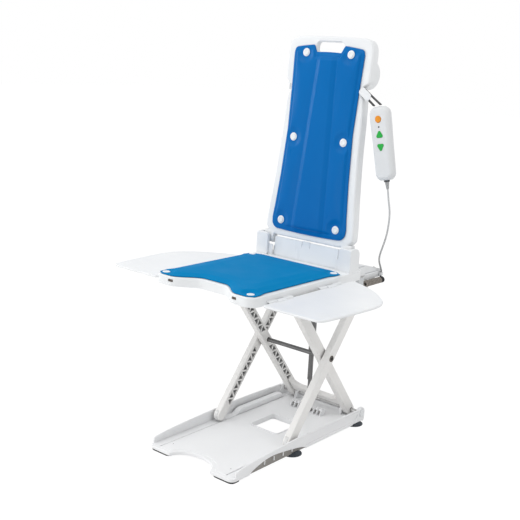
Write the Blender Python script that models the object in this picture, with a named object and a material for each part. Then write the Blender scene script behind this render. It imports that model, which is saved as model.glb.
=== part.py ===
"""A scissor bath lift: a low base, two pairs of crossed arms, a seat with side flaps and a reclining back.

Metres, +Z up, front towards -Y. The origin lies on the floor, in the middle of the lift's plan.
"""

import math

import bmesh
import bpy
import numpy as np
from mathutils import Matrix, Vector

SIDES = {"left": -1, "right": 1}

# Clearances
GAP = 0.0003
BORE_PLAY = 0.0003

# Base tray
BASE_LENGTH = 0.575
BASE_WIDTH = 0.288
REAR_OVERHANG = 0.028
TRAY_GROUND_GAP = 0.008
TRAY_PLATE = 0.006
TRAY_PANEL_RISE = 0.001
TRAY_CORNER = 0.016
RAIL_WALL = 0.005
RAIL_FRONT_HEIGHT = 0.018
RAIL_MIDDLE_HEIGHT = 0.033
RAIL_REAR_HEIGHT = 0.027
FRONT_CUT_HALF = 0.067
FRONT_CUT_DEPTH = 0.044
TRAY_HOLE = (0.094, 0.100)
TRAY_HOLE_SETBACK = 0.288
REAR_WALL = 0.008
REAR_WALL_HEIGHT = 0.012
CHEEK = 0.010
CHEEK_RADIUS = 0.016
FOOT_FIN = (0.008, 0.020, 0.022)
FOOT_FIN_SPAN = 0.060

# Feet
PAD_SIZE = (0.070, 0.038)
CUP_RADIUS = 0.028
CUP_STEM_RADIUS = 0.006
CUP_X = 0.128
CUP_SETBACKS = {"front": 0.250, "rear": 0.533}

# Scissor
PIVOT_SETBACK = 0.0255
ROLLER_SETBACK = 0.0545
ARM_RISE = math.radians(51.86)
ARM_LOW = math.radians(4.0)
ARM_DEPTH = 0.030
ARM_THICKNESS = 0.020
ARM_SIDE_PLAY = 0.004
ARM_CHEEK_PLAY = 0.002
ARM_FLANGE = 0.004
ARM_WEB = 0.007
ARM_BOSS = 0.022
SHAFT_RADIUS = 0.006
SHAFT_HEAD_RADIUS = 0.009
SHAFT_HEAD = 0.003
AXLE_HEAD = 0.0018
ROLLER_RADIUS = 0.0165
ROLLER_WIDTH = 0.0094
ROLLER_SIDE_PLAY = 0.0003
ROLLER_PIN_RADIUS = 0.004
FORK_DEPTH = 0.019
CROSS_OFFSET = 0.030
CROSS_SIZE = (0.018, 0.016)
CROSS_GUSSET = 0.032

# Lifting column
COLUMN_SETBACK = 0.062
COLUMN_STAGES = 4
COLUMN_OVERLAP = 0.020
COLUMN_ROD_RADIUS = 0.0051
COLUMN_WALL = 0.0016
COLUMN_PLAY = 0.0005
COLUMN_FOOT = (0.014, 0.004)

# Seat
SEAT_WIDTH = 0.326
SEAT_RISE = 0.0438
SEAT_PLATE = 0.005
SEAT_WALL = 0.004
SEAT_SKIRT = 0.024
SEAT_FRONT_SETBACK = 0.0255
SEAT_BODY_REAR = 0.0915
SEAT_CORNER = 0.028
SEAT_SCALLOP = 0.040
SCALLOP_HALF = 0.109
SCALLOP_RAMP = 0.0755
DECK_DROP = 0.022
DECK_PLATE = 0.0045
DECK_SKIRT = 0.016
LUG = 0.008
LUG_RADIUS = 0.014
TRACK_WIDTH = 0.012
TRACK_MARGIN = 0.020

# Hinge posts and lower back panel
HINGE_SETBACK = 0.1695
HINGE_RISE = 0.044
POST_INNER_X = 0.150
POST_FRONT = 0.024
POST_RADIUS = 0.018
PANEL_SIDE_GAP = 0.013
PANEL_PLATE = 0.004
PANEL_TAB = (0.024, 0.0019)

# Rear housing and drive
HOUSING_HALF = 0.138
HOUSING_FRONT = 0.026
HOUSING_REAR_SETBACK = 0.0085
HOUSING_HEIGHT = 0.017
HOUSING_REAR_HEIGHT = 0.004
HOUSING_WALL = 0.003
HUMP_HALF = 0.060
HUMP_CLEARANCE = 0.000832
HUMP_FRONT = 0.026
HUMP_REAR = 0.036
GEAR_HALF = (0.020, 0.0185)
MOTOR_RADIUS = 0.0095
MOTOR_END = 0.054

# Flaps
FLAP_REACH = 0.1815
FLAP_PLATE = 0.006
FLAP_HINGE_OUT = 0.0055
FLAP_HINGE_DROP = 0.018
FLAP_EDGE_OUT = 0.0065
KNUCKLE_RADIUS = 0.005
FLAP_PIN_RADIUS = 0.0022
KNUCKLE_GAP = 0.0005
KNUCKLE = 0.030
FLAP_FRONT_SETBACK = 0.013
FLAP_LENGTH = 0.366
FLAP_HINGES = (0.205, 0.751)
FLAP_EDGE = (
    (0.7245, 0.0),
    (0.9229, 0.0355),
    (1.0, 0.1503),
    (0.989, 0.5464),
    (0.8788, 0.7268),
    (0.6584, 0.8689),
    (0.3829, 0.9563),
    (0.0882, 1.0),
)

# Seat cover
COVER_EDGE = 0.0026
COVER_CROWN = 0.0055
COVER_INSET = 0.012
COVER_MARGIN = 0.011
COVER_SCALLOP = 0.046
COVER_REAR = 0.078
COVER_WAIST = 0.045
COVER_RIM = 0.022
COVER_EAR = 0.86
COVER_EAR_FLAT = 0.017
PEG_HEAD = (0.0065, 0.0045)
PEG_STEM_RADIUS = 0.003
PEG_HEIGHT = 0.0022
PEG_INSET = 0.013

# Back shell, in its own frame: X across, Y rearwards, Z up along the back, origin on the recline axis
BACK_TILT = math.radians(5.48)
BACK_FRONT = -0.006
BACK_BOTTOM = 0.012
BACK_HEIGHT = 0.5485
BACK_WIDTH = 0.293
BACK_DEPTH = 0.026
BACK_PLATE = 0.006
BACK_WALL = 0.004
BACK_EDGE = 0.005
NOTCH = 0.030
SHELL_SIDE = (
    (0.047, 0.0),
    (0.021, 0.007),
    (0.005, 0.031),
    (0.0, 0.069),
    (0.008, 0.247),
    (0.015, 0.429),
    (0.0185, 0.612),
    (0.022, 0.703),
    (0.029, 0.730),
    (NOTCH, 0.754),
    (0.022, 0.772),
    (0.0125, 0.787),
    (0.010, 0.818),
    (0.0095, 0.905),
    (0.0115, 0.951),
    (0.021, 0.982),
    (0.041, 0.996),
)
HANDLE_SLOT = (0.086, 0.028)
HANDLE_DROP = 0.030
GRIP_DEPTH = 0.054
GRIP_HEIGHT = 0.080
GRIP_WIDTH = 0.024
GRIP_DROP = 0.092
GRIP_INSET = 0.013
BACK_LUG_RADIUS = 0.011
BACK_LUG_INSET = 0.0325
BACK_LUG_PLAY = 0.0025
HINGE_PIN_RADIUS = 0.0045

# Back cover
BACK_COVER_TOP = 0.026
BACK_COVER_BOTTOM = 0.018
BACK_COVER_RECESS = 0.019
BACK_COVER_CROWN = 0.0065
BACK_COVER_RIM = 0.024
BACK_COVER_CORNER = (0.012, 0.016)
BACK_COVER_SIDE = (
    (0.020, 0.0),
    (0.027, 0.12),
    (0.0345, 0.30),
    (0.0405, 0.55),
    (0.037, 0.80),
    (0.033, 1.0),
)
CHANNEL_DEPTH = 0.0026
CHANNEL_WIDTH = 0.007
CHANNEL_HALVES = (0.048, 0.023)
PLUG_PLACES = {"low": (0.0541, 0.0822), "middle": (0.0639, 0.5016), "high": (0.0739, 0.9154)}
PLUG_RADIUS = 0.011
PLUG_STEP_RADIUS = 0.0075
PLUG_STEM_RADIUS = 0.0048
PLUG_STEP = 0.0018
DIMPLE_RADIUS = 0.021
DIMPLE_THICKNESS = 0.004

# Hand control, in its own frame: X across, Y rearwards, Z up, origin at its middle
HANDSET_HANG = (0.0685, 0.005, -0.126)
HANDSET_TILT = math.radians(-11.8)
HANDSET_LENGTH = 0.190
HANDSET_WIDTH = 0.058
HANDSET_DEPTH = 0.030
HANDSET_SPLIT = -0.003
HANDSET_WALL = 0.0025
HANDSET_EDGE = 0.005
BUTTON_TRAVEL = 0.0012
BUTTON_PROUD = 0.0003
BUTTON_PLAY = 0.0004
BUTTON_FLANGE = 0.0012
STOP_RADIUS = 0.0078
ARROW_RADIUS = 0.0082
BUTTON_LEVELS = {"stop": 0.062, "up": 0.022, "down": -0.008}
BATTERY = (0.040, 0.100, 0.017)
RELIEF_LENGTH = 0.022
RELIEF_COLLAR = 0.006
RELIEF_RADII = (0.0058, 0.0036)

# Strap and its peg
PEG_RADIUS = 0.0045
STRAP_PEG = (0.023, -0.0005, -0.1371)
STRAP_THICKNESS = 0.0016
STRAP_WIDTH = 0.009
STRAP_FOOT = (-0.014, 0.006)

# Cord
CORD_RADIUS = 0.0025
CURL_RADIUS = 0.0065
CURLS = 13
CURL_POINTS = 9
COIL_SETBACKS = (0.118, 0.018)
COIL_OUT = 0.0115
LEAD_ROUTE = (
    (0.107, 0.0094, -0.0070),
    (0.262, 0.0191, -0.0115),
    (0.495, 0.0114, -0.0057),
    (0.736, -0.0066, -0.0018),
    (0.823, -0.0091, 0.0014),
    (0.888, -0.0077, 0.0071),
)
LEAD_FOOT = (7.5, 5.5, 2.5, 0.0)
SOCKET_SIZE = (0.012, 0.024)
CLIP_SIZE = (0.011, 0.008)

# Sides of round pieces: large, usual and small
ROUND = {"large": 20, "usual": 16, "small": 12}

# Finishes: colour, roughness, metallic
WHITE = ((0.86, 0.89, 0.90), 0.38, 0.0)
LIGHT_GREY = ((0.62, 0.62, 0.60), 0.45, 0.0)
BLUE = ((0.006, 0.165, 0.48), 0.55, 0.0)
RUBBER = ((0.02, 0.022, 0.026), 0.75, 0.0)
STEEL = ((0.32, 0.33, 0.35), 0.28, 1.0)
ORANGE = ((0.80, 0.36, 0.045), 0.4, 0.0)
GREEN = ((0.004, 0.49, 0.066), 0.4, 0.0)
BLACK = ((0.012, 0.012, 0.014), 0.6, 0.0)
CORD_GREY = ((0.55, 0.56, 0.57), 0.5, 0.0)

# Places worked out from the sizes above
FRONT_Y = -(BASE_LENGTH + REAR_OVERHANG) / 2
BASE_REAR_Y = FRONT_Y + BASE_LENGTH
SEAT_REAR_Y = BASE_REAR_Y + REAR_OVERHANG
TRAY_TOP = TRAY_GROUND_GAP + TRAY_PLATE
PIVOT_Y = BASE_REAR_Y - PIVOT_SETBACK
LOWER_Z = TRAY_TOP + ROLLER_RADIUS + GAP
ARM_LENGTH = BASE_LENGTH - PIVOT_SETBACK - ROLLER_SETBACK
UPPER_Z = LOWER_Z + ARM_LENGTH * math.sin(ARM_RISE)
CENTRE_Y = PIVOT_Y - ARM_LENGTH * math.cos(ARM_RISE) / 2
CENTRE_Z = (LOWER_Z + UPPER_Z) / 2
TRAVEL = ARM_LENGTH * (math.sin(ARM_RISE) - math.sin(ARM_LOW))
OUTER_ARM_X = BASE_WIDTH / 2 - CHEEK - ARM_CHEEK_PLAY - ARM_THICKNESS / 2
INNER_ARM_X = OUTER_ARM_X - ARM_THICKNESS - ARM_SIDE_PLAY
COLUMN_Y = PIVOT_Y - COLUMN_SETBACK
COLUMN_STEP = TRAVEL / COLUMN_STAGES
COLUMN_TUBE = COLUMN_STEP + COLUMN_OVERLAP
COLUMN_FOOT_Z = TRAY_TOP + TRAY_PANEL_RISE + GAP + COLUMN_FOOT[1]
COLUMN_TOP = COLUMN_FOOT_Z + GAP + TRAVEL + COLUMN_TUBE
SEAT_TOP = UPPER_Z + SEAT_RISE
SEAT_HALF = SEAT_WIDTH / 2
SEAT_FRONT_Y = FRONT_Y + SEAT_FRONT_SETBACK
SEAT_BODY_REAR_Y = SEAT_REAR_Y - SEAT_BODY_REAR
DECK_TOP = SEAT_TOP - DECK_DROP
DECK_HALF = OUTER_ARM_X + ARM_THICKNESS / 2 + ARM_CHEEK_PLAY + LUG
HINGE_Y = SEAT_REAR_Y - HINGE_SETBACK
HINGE_Z = SEAT_TOP + HINGE_RISE
FLAP_HINGE_X = SEAT_HALF + FLAP_HINGE_OUT
FLAP_HINGE_Z = SEAT_TOP - FLAP_HINGE_DROP
BACK_TOP = BACK_BOTTOM + BACK_HEIGHT
BACK_LUG_INNER = BACK_WIDTH / 2 - BACK_LUG_INSET
BACK_LUG_OUTER = POST_INNER_X - BACK_LUG_PLAY
PANEL_HALF = BACK_LUG_INNER - PANEL_SIDE_GAP
BUTTON_RISE = BUTTON_TRAVEL + BUTTON_PROUD
COVER_BASE_Z = SEAT_TOP + GAP
PEG_X = SEAT_HALF - PEG_INSET - COVER_MARGIN
PEG_FRONT_Y = SEAT_FRONT_Y + PEG_INSET
PEG_REAR_Y = HINGE_Y - COVER_REAR + PEG_INSET
COIL_X = DECK_HALF + COIL_OUT
COIL_Z = UPPER_Z
COIL_Y = (SEAT_REAR_Y - COIL_SETBACKS[0], SEAT_REAR_Y - COIL_SETBACKS[1])


def clear_scene():
    """Removes whatever the scene holds."""
    for thing in list(bpy.data.objects):
        bpy.data.objects.remove(thing, do_unlink=True)


def frame(name, place, turn=(0.0, 0.0, 0.0)):
    """An empty that carries one body; its origin lies on that body's joint axis."""
    empty = bpy.data.objects.new(name, None)
    empty.location = place
    empty.rotation_euler = turn
    bpy.context.scene.collection.objects.link(empty)
    return empty


def axis_frame(name, place):
    """An empty on a joint axis whose pieces are drawn in the lift's own frame."""
    empty = frame(name, place)
    empty["drawn_from"] = [-c for c in place]
    return empty


def paint(thing, finish):
    """Gives an object a material of its own with one finish's values."""
    colour, roughness, metallic = finish
    material = bpy.data.materials.new(thing.name)
    material.use_nodes = True
    shader = material.node_tree.nodes["Principled BSDF"]
    shader.inputs["Base Color"].default_value = (*colour, 1.0)
    shader.inputs["Roughness"].default_value = roughness
    shader.inputs["Metallic"].default_value = metallic
    thing.data.materials.append(material)


def link(name, data, parent, finish):
    """Puts a mesh or curve into the scene, under its body's frame."""
    thing = bpy.data.objects.new(name, data)
    bpy.context.scene.collection.objects.link(thing)
    thing.parent = parent
    if parent and "drawn_from" in parent:
        thing.matrix_parent_inverse = Matrix.Translation(parent["drawn_from"])
    if finish is None:
        thing.hide_render = True
        thing.display_type = "WIRE"
    else:
        paint(thing, finish)
    return thing


def solid(name, points, faces, parent=None, finish=None):
    """A closed mesh with its faces turned outwards; without a finish it is a cutter."""
    mesh = bpy.data.meshes.new(name)
    mesh.from_pydata([tuple(p) for p in points], [], faces)
    shape = bmesh.new()
    shape.from_mesh(mesh)
    bmesh.ops.recalc_face_normals(shape, faces=shape.faces)
    shape.to_mesh(mesh)
    shape.free()
    mesh.shade_smooth()
    mesh.set_sharp_from_angle(angle=math.radians(35))
    return link(name, mesh, parent, finish)


def loft(name, loops, parent=None, finish=None, ring=False):
    """Joins equal loops of points in turn; ring joins the last to the first, else both ends are capped."""
    count = len(loops[0])
    points = [p for loop in loops for p in loop]
    faces = []
    for row in range(len(loops) if ring else len(loops) - 1):
        here = row * count
        there = (row + 1) % len(loops) * count
        for k in range(count):
            after = (k + 1) % count
            faces.append((here + k, here + after, there + after, there + k))
    if not ring:
        faces.append(tuple(range(count)))
        faces.append(tuple(range(len(points) - count, len(points))))
    return solid(name, points, faces, parent, finish)


def along(axis, a, b, height):
    """A point from two plane coordinates and a height along the named axis."""
    return {"x": (height, a, b), "y": (a, height, b), "z": (a, b, height)}[axis]


def prism(name, outline, axis, low, high, parent=None, finish=None):
    """An outline extruded along an axis between two heights."""
    loops = [[along(axis, a, b, h) for a, b in outline] for h in (low, high)]
    return loft(name, loops, parent, finish)


def arc(centre, radius, start, stop, steps):
    """Points on an arc, angles in degrees."""
    turns = [math.radians(start + (stop - start) * k / steps) for k in range(steps + 1)]
    return [(centre[0] + radius * math.cos(t), centre[1] + radius * math.sin(t)) for t in turns]


def circle(centre, radius, count):
    """A closed round outline."""
    return arc(centre, radius, 0, 360, count)[:-1]


def block(low, high, radius=0.0, steps=4):
    """A rectangle between two corners, with rounded corners where a radius is given."""
    if not radius:
        return [low, (high[0], low[1]), high, (low[0], high[1])]
    corners = (
        ((high[0] - radius, low[1] + radius), -90),
        ((high[0] - radius, high[1] - radius), 0),
        ((low[0] + radius, high[1] - radius), 90),
        ((low[0] + radius, low[1] + radius), 180),
    )
    return [p for centre, turn in corners for p in arc(centre, radius, turn, turn + 90, steps)]


def smooth(points, steps, closed=False):
    """A smooth curve through hand-chosen points, with the given number of steps in each span."""
    rows = [np.array(p, float) for p in points]
    count = len(rows)
    curve = []
    for k in range(count if closed else count - 1):
        if closed:
            before, here, there, after = (rows[(k + j) % count] for j in (-1, 0, 1, 2))
        else:
            before, here, there = rows[max(k - 1, 0)], rows[k], rows[k + 1]
            after = rows[min(k + 2, count - 1)]
        for step in range(steps):
            t = step / steps
            bend = (2 * before - 5 * here + 4 * there - after) * t * t
            swing = (3 * here - before - 3 * there + after) * t**3
            curve.append(0.5 * (2 * here + (there - before) * t + bend + swing))
    if not closed:
        curve.append(rows[-1])
    return [tuple(float(c) for c in p) for p in curve]


def mirrored(half):
    """A closed outline from its right half, listed from the middle of one end to that of the other."""
    left = [(-a, b) for a, b in reversed(half) if a > 1e-6]
    return list(half) + left


def inset(outline, distance):
    """An outline drawn in by a distance along its corners' bisectors."""
    points = [np.array(p) for p in outline]
    area = sum(a[0] * b[1] - b[0] * a[1] for a, b in zip(points, points[1:] + points[:1]))
    inward = distance if area > 0 else -distance
    result = []
    for k, here in enumerate(points):
        arriving = here - points[k - 1]
        leaving = points[(k + 1) % len(points)] - here
        one = np.array((-arriving[1], arriving[0])) / np.linalg.norm(arriving)
        two = np.array((-leaving[1], leaving[0])) / np.linalg.norm(leaving)
        bisector = (one + two) / (1 + one @ two)
        result.append(tuple(here + inward * bisector))
    return result


def turned(name, profile, centre, parent=None, finish=None, ring=False, axis="z", sides="usual"):
    """A profile of (radius, height) turned round an axis through a centre given in that axis's plane."""
    loops = [[along(axis, a, b, h) for a, b in circle(centre, r, ROUND[sides])] for r, h in profile]
    return loft(name, loops, parent, finish, ring)


def rod(name, centre, radius, low, high, axis="x", parent=None, finish=None, sides="usual"):
    """A plain round bar."""
    return turned(name, [(radius, low), (radius, high)], centre, parent, finish, False, axis, sides)


def join(target, tool, operation):
    """Adds a Boolean with a hidden tool."""
    cut = target.modifiers.new(tool.name, "BOOLEAN")
    cut.operation = operation
    cut.solver = "EXACT"
    cut.object = tool


def fuse(target, *tools):
    """Adds tools to a target."""
    for tool in tools:
        join(target, tool, "UNION")


def carve(target, *tools):
    """Cuts tools out of a target."""
    for tool in tools:
        join(target, tool, "DIFFERENCE")


def tray(name, outline, top, plate, bottom, wall, edge, parent, finish=None):
    """An upside-down tray: a plate with a rounded rim and a skirt that is open below."""
    rim = inset(outline, edge)
    hollow = inset(outline, wall)
    loops = [
        [(a, b, top) for a, b in rim],
        [(a, b, top - edge) for a, b in outline],
        [(a, b, bottom) for a, b in outline],
        [(a, b, bottom) for a, b in hollow],
        [(a, b, top - plate) for a, b in hollow],
    ]
    return loft(name, loops, parent, finish)


def build_base():
    """The moulded tray with its rails, rear cheeks and foot fins, and the feet below it."""
    body = frame("base_frame", (0, 0, 0))
    half = BASE_WIDTH / 2
    scoop = arc((0, FRONT_Y), FRONT_CUT_HALF, 0, 180, 12)
    squash = FRONT_CUT_DEPTH / FRONT_CUT_HALF
    scoop = [(a, FRONT_Y + (b - FRONT_Y) * squash) for a, b in scoop]
    corner = TRAY_CORNER
    outline = scoop[::-1] + [
        *arc((half - corner, FRONT_Y + corner), corner, -90, 0, 4),
        *arc((half - corner, BASE_REAR_Y - corner), corner, 0, 90, 4),
        *arc((corner - half, BASE_REAR_Y - corner), corner, 90, 180, 4),
        *arc((corner - half, FRONT_Y + corner), corner, 180, 270, 4),
    ]
    base = prism("base_tray", outline, "z", TRAY_GROUND_GAP, TRAY_TOP, body, WHITE)
    panel_half = INNER_ARM_X - ARM_THICKNESS / 2 - ARM_SIDE_PLAY
    sunk = TRAY_PLATE / 2
    panel_front = FRONT_Y + FRONT_CUT_DEPTH + TRAY_CORNER
    panel_rear = BASE_REAR_Y - REAR_WALL / 2
    panel_plan = block((-panel_half, panel_front), (panel_half, panel_rear), TRAY_CORNER / 2)
    panel = prism("panel_tool", panel_plan, "z", TRAY_TOP - sunk, TRAY_TOP + TRAY_PANEL_RISE, body)
    wall_plan = block((-half + CHEEK, BASE_REAR_Y - REAR_WALL), (half - CHEEK, BASE_REAR_Y - GAP))
    wall_top = TRAY_TOP + REAR_WALL_HEIGHT
    rear_wall = prism("rear_wall_tool", wall_plan, "z", TRAY_TOP - sunk, wall_top, body)
    fuse(base, panel, rear_wall)
    for side, sign in SIDES.items():
        rail_front = FRONT_Y + TRAY_CORNER
        rail_rear = BASE_REAR_Y - TRAY_CORNER
        crest = [
            (rail_front, TRAY_TOP + RAIL_FRONT_HEIGHT),
            ((rail_front + rail_rear) / 2, TRAY_TOP + RAIL_MIDDLE_HEIGHT),
            (rail_rear, TRAY_TOP + RAIL_REAR_HEIGHT),
        ]
        rail_outline = [(rail_rear, TRAY_TOP - sunk), (rail_front, TRAY_TOP - sunk), *smooth(crest, 6)]
        low, high = sorted((sign * (half - RAIL_WALL), sign * (half - GAP)))
        rail = prism(f"rail_tool_{side}", rail_outline, "x", low, high, body)
        cheek_outline = arc((PIVOT_Y, LOWER_Z), CHEEK_RADIUS, 0, 180, 8)
        cheek_outline.append((PIVOT_Y - 2 * CHEEK_RADIUS, TRAY_TOP - sunk))
        cheek_outline.append((PIVOT_Y + CHEEK_RADIUS, TRAY_TOP - sunk))
        low, high = sorted((sign * (half - CHEEK), sign * (half - GAP / 2)))
        cheek = prism(f"cheek_tool_{side}", cheek_outline, "x", low, high, body)
        lug_outline = arc((PIVOT_Y, LOWER_Z), LUG_RADIUS, 0, 180, 8)
        lug_outline.append((PIVOT_Y - LUG_RADIUS, TRAY_TOP - sunk))
        lug_outline.append((PIVOT_Y + LUG_RADIUS, TRAY_TOP - sunk))
        lug_outer = INNER_ARM_X - ARM_THICKNESS / 2 - ARM_SIDE_PLAY / 2
        low, high = sorted((sign * (lug_outer - LUG), sign * lug_outer))
        lug = prism(f"base_lug_tool_{side}", lug_outline, "x", low, high, body)
        fin_x, fin_y, fin_z = FOOT_FIN
        fin_floor = TRAY_TOP + TRAY_PANEL_RISE
        fin_low = (COLUMN_Y - fin_y / 2, fin_floor - sunk)
        fin_high = (COLUMN_Y + fin_y / 2, fin_floor + fin_z)
        fin_outline = block(fin_low, fin_high, fin_y / 3)
        middle = sign * FOOT_FIN_SPAN / 2
        fin = prism(f"fin_tool_{side}", fin_outline, "x", middle - fin_x / 2, middle + fin_x / 2, body)
        fuse(base, rail, cheek, lug, fin)
    hole_front = FRONT_Y + TRAY_HOLE_SETBACK
    hole_half = TRAY_HOLE[0] / 2
    hole_plan = block((-hole_half, hole_front), (hole_half, hole_front + TRAY_HOLE[1]), TRAY_CORNER / 2)
    hole = prism("tray_hole_tool", hole_plan, "z", 0, TRAY_TOP + 2 * TRAY_PANEL_RISE, body)
    pivot = (PIVOT_Y, LOWER_Z)
    past = half + TRAY_CORNER
    bore = rod("rear_bore_tool", pivot, SHAFT_RADIUS + BORE_PLAY, -past, past, "x", body)
    carve(base, hole, bore)
    build_feet(body, base)
    turned("rear_pivot_shaft", headed(half + GAP, SHAFT_HEAD), pivot, body, STEEL, False, "x")
    return body


def headed(reach, head):
    """The profile of a shaft with a head of the given thickness beyond each end of its reach."""
    return [
        (SHAFT_HEAD_RADIUS, -reach - head),
        (SHAFT_HEAD_RADIUS, -reach),
        (SHAFT_RADIUS, -reach),
        (SHAFT_RADIUS, reach),
        (SHAFT_HEAD_RADIUS, reach),
        (SHAFT_HEAD_RADIUS, reach + head),
    ]


def build_feet(body, base):
    """Two front pads and four suction cups, whose stems sit in the tray."""
    half = BASE_WIDTH / 2
    for side, sign in SIDES.items():
        low_x, high_x = sorted((sign * (half - PAD_SIZE[0]), sign * (half - GAP)))
        plan = block((low_x, FRONT_Y + GAP), (high_x, FRONT_Y + PAD_SIZE[1]), TRAY_CORNER * 0.9)
        prism(f"front_pad_{side}", plan, "z", 0, TRAY_GROUND_GAP - GAP, body, RUBBER)
        for place, setback in CUP_SETBACKS.items():
            centre = (sign * CUP_X, FRONT_Y + setback)
            hollow = TRAY_GROUND_GAP * 0.45
            profile = [
                (CUP_STEM_RADIUS, hollow),
                (CUP_RADIUS * 0.93, 0.0),
                (CUP_RADIUS, 0.0),
                (CUP_RADIUS * 0.6, TRAY_GROUND_GAP - GAP),
                (CUP_STEM_RADIUS, TRAY_GROUND_GAP - GAP),
                (CUP_STEM_RADIUS, TRAY_TOP - GAP),
            ]
            turned(f"suction_cup_{place}_{side}", profile, centre, body, RUBBER)
            reach = TRAY_TOP + TRAY_PLATE
            hole = CUP_STEM_RADIUS + BORE_PLAY
            carve(base, rod(f"stem_tool_{place}_{side}", centre, hole, 0, reach, "z", body))


def build_arm(name, body, x, inward):
    """One arm: a channel section open towards the middle, a fork at its free end, a boss at each pivot.

    It lies along its frame's Y with the fixed pivot at +Y; inward is the sign of X towards the middle.
    """
    half = ARM_LENGTH / 2
    radius = ARM_DEPTH / 2
    outline = arc((half, 0), radius, -90, 90, 8) + arc((-half, 0), radius, 90, 270, 8)
    side = ARM_THICKNESS / 2
    arm = prism(name, outline, "x", x - side, x + side, body, WHITE)
    depth = radius - ARM_FLANGE
    ends = (-half + FORK_DEPTH + ARM_FLANGE, half - ARM_BOSS)
    spans = ((ends[0], -ARM_BOSS), (ARM_BOSS, ends[1]))
    for k, (start, stop) in enumerate(spans):
        outer = x + inward * side * 1.1
        web = x - inward * (side - ARM_WEB)
        low, high = sorted((outer, web))
        plan = block((start, -depth), (stop, depth), ARM_FLANGE)
        carve(arm, prism(f"{name}_channel_tool_{k}", plan, "x", low, high, body))
    slot = ROLLER_WIDTH / 2 + ROLLER_SIDE_PLAY
    fork = block((-half - ARM_DEPTH, -ARM_DEPTH), (-half + FORK_DEPTH, ARM_DEPTH))
    carve(arm, prism(f"{name}_fork_tool", fork, "x", x - slot, x + slot, body))
    bores = ((half, SHAFT_RADIUS), (0, SHAFT_RADIUS), (-half, ROLLER_PIN_RADIUS))
    for k, (place, bore) in enumerate(bores):
        low, high = x - ARM_THICKNESS, x + ARM_THICKNESS
        carve(arm, rod(f"{name}_bore_tool_{k}", (place, 0), bore + BORE_PLAY, low, high, "x", body))
    return arm


def build_roller(name, body, x):
    """A roller with its stub pins, turned about its own frame's X axis."""
    half = ROLLER_WIDTH / 2
    pin = ARM_THICKNESS / 2 - GAP
    profile = [
        (ROLLER_PIN_RADIUS, x - pin),
        (ROLLER_PIN_RADIUS, x - half),
        (ROLLER_RADIUS, x - half),
        (ROLLER_RADIUS, x + half),
        (ROLLER_PIN_RADIUS, x + half),
        (ROLLER_PIN_RADIUS, x + pin),
    ]
    return turned(name, profile, (0, 0), body, LIGHT_GREY, False, "x", "large")


def build_scissor():
    """Both arm pairs, their axle, cross member and rollers."""
    inner = frame("inner_frame", (0, CENTRE_Y, CENTRE_Z), (-ARM_RISE, 0, 0))
    outer = frame("outer_frame", (0, CENTRE_Y, CENTRE_Z), (ARM_RISE, 0, 0))
    free_y = PIVOT_Y - ARM_LENGTH * math.cos(ARM_RISE)
    upper_rollers = frame("upper_roller_frame", (0, free_y, UPPER_Z))
    lower_rollers = frame("lower_roller_frame", (0, free_y, LOWER_Z))
    for side, sign in SIDES.items():
        build_arm(f"inner_arm_{side}", inner, sign * INNER_ARM_X, -sign)
        build_arm(f"outer_arm_{side}", outer, sign * OUTER_ARM_X, -sign)
        build_roller(f"upper_roller_{side}", upper_rollers, sign * INNER_ARM_X)
        build_roller(f"lower_roller_{side}", lower_rollers, sign * OUTER_ARM_X)
    reach = OUTER_ARM_X + ARM_THICKNESS / 2 + GAP
    turned("centre_axle", headed(reach, AXLE_HEAD), (0, 0), inner, STEEL, False, "x")
    half = INNER_ARM_X - ARM_THICKNESS / 2 - GAP
    width, depth = CROSS_SIZE
    rear = ARM_LENGTH / 2 - CROSS_OFFSET + width / 2
    front = rear - width
    sweep = arc((half - CROSS_GUSSET, front - CROSS_GUSSET), CROSS_GUSSET, 0, 90, 5)
    right = [(0, rear), (half, rear), *sweep, (0, front)]
    prism("inner_cross_member", mirrored(right), "z", -depth / 2, depth / 2, inner, WHITE)


def build_column(body):
    """The telescopic lifting column: a rod on the base, sliding stages, an outer tube under the seat."""
    centre = (0, COLUMN_Y)
    foot_radius, foot = COLUMN_FOOT
    top = COLUMN_FOOT_Z + COLUMN_TUBE
    profile = [
        (foot_radius, COLUMN_FOOT_Z - foot),
        (foot_radius, COLUMN_FOOT_Z),
        (COLUMN_ROD_RADIUS, COLUMN_FOOT_Z),
        (COLUMN_ROD_RADIUS, top),
    ]
    turned("column_rod", profile, centre, body, STEEL)
    names = [f"column_stage_{k}" for k in range(1, COLUMN_STAGES)] + ["column_tube"]
    for k, name in enumerate(names, start=1):
        bore, radius = column_radii(k)
        profile = [(radius, 0), (radius, COLUMN_TUBE), (bore, COLUMN_TUBE), (bore, 0)]
        stage = turned(name, profile, (0, 0), None, STEEL, True)
        stage.location = (0, COLUMN_Y, COLUMN_FOOT_Z + GAP + k * COLUMN_STEP)


def column_radii(stage):
    """Bore and outer radius of a column stage, counted from the rod."""
    bore = COLUMN_ROD_RADIUS + COLUMN_PLAY + (stage - 1) * (COLUMN_WALL + COLUMN_PLAY)
    return bore, bore + COLUMN_WALL


def scallop(x, depth):
    """How far the front is drawn back at a distance from the middle, for a scallop of the given depth."""
    return depth * ease((SCALLOP_HALF - abs(x)) / SCALLOP_RAMP)


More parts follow.
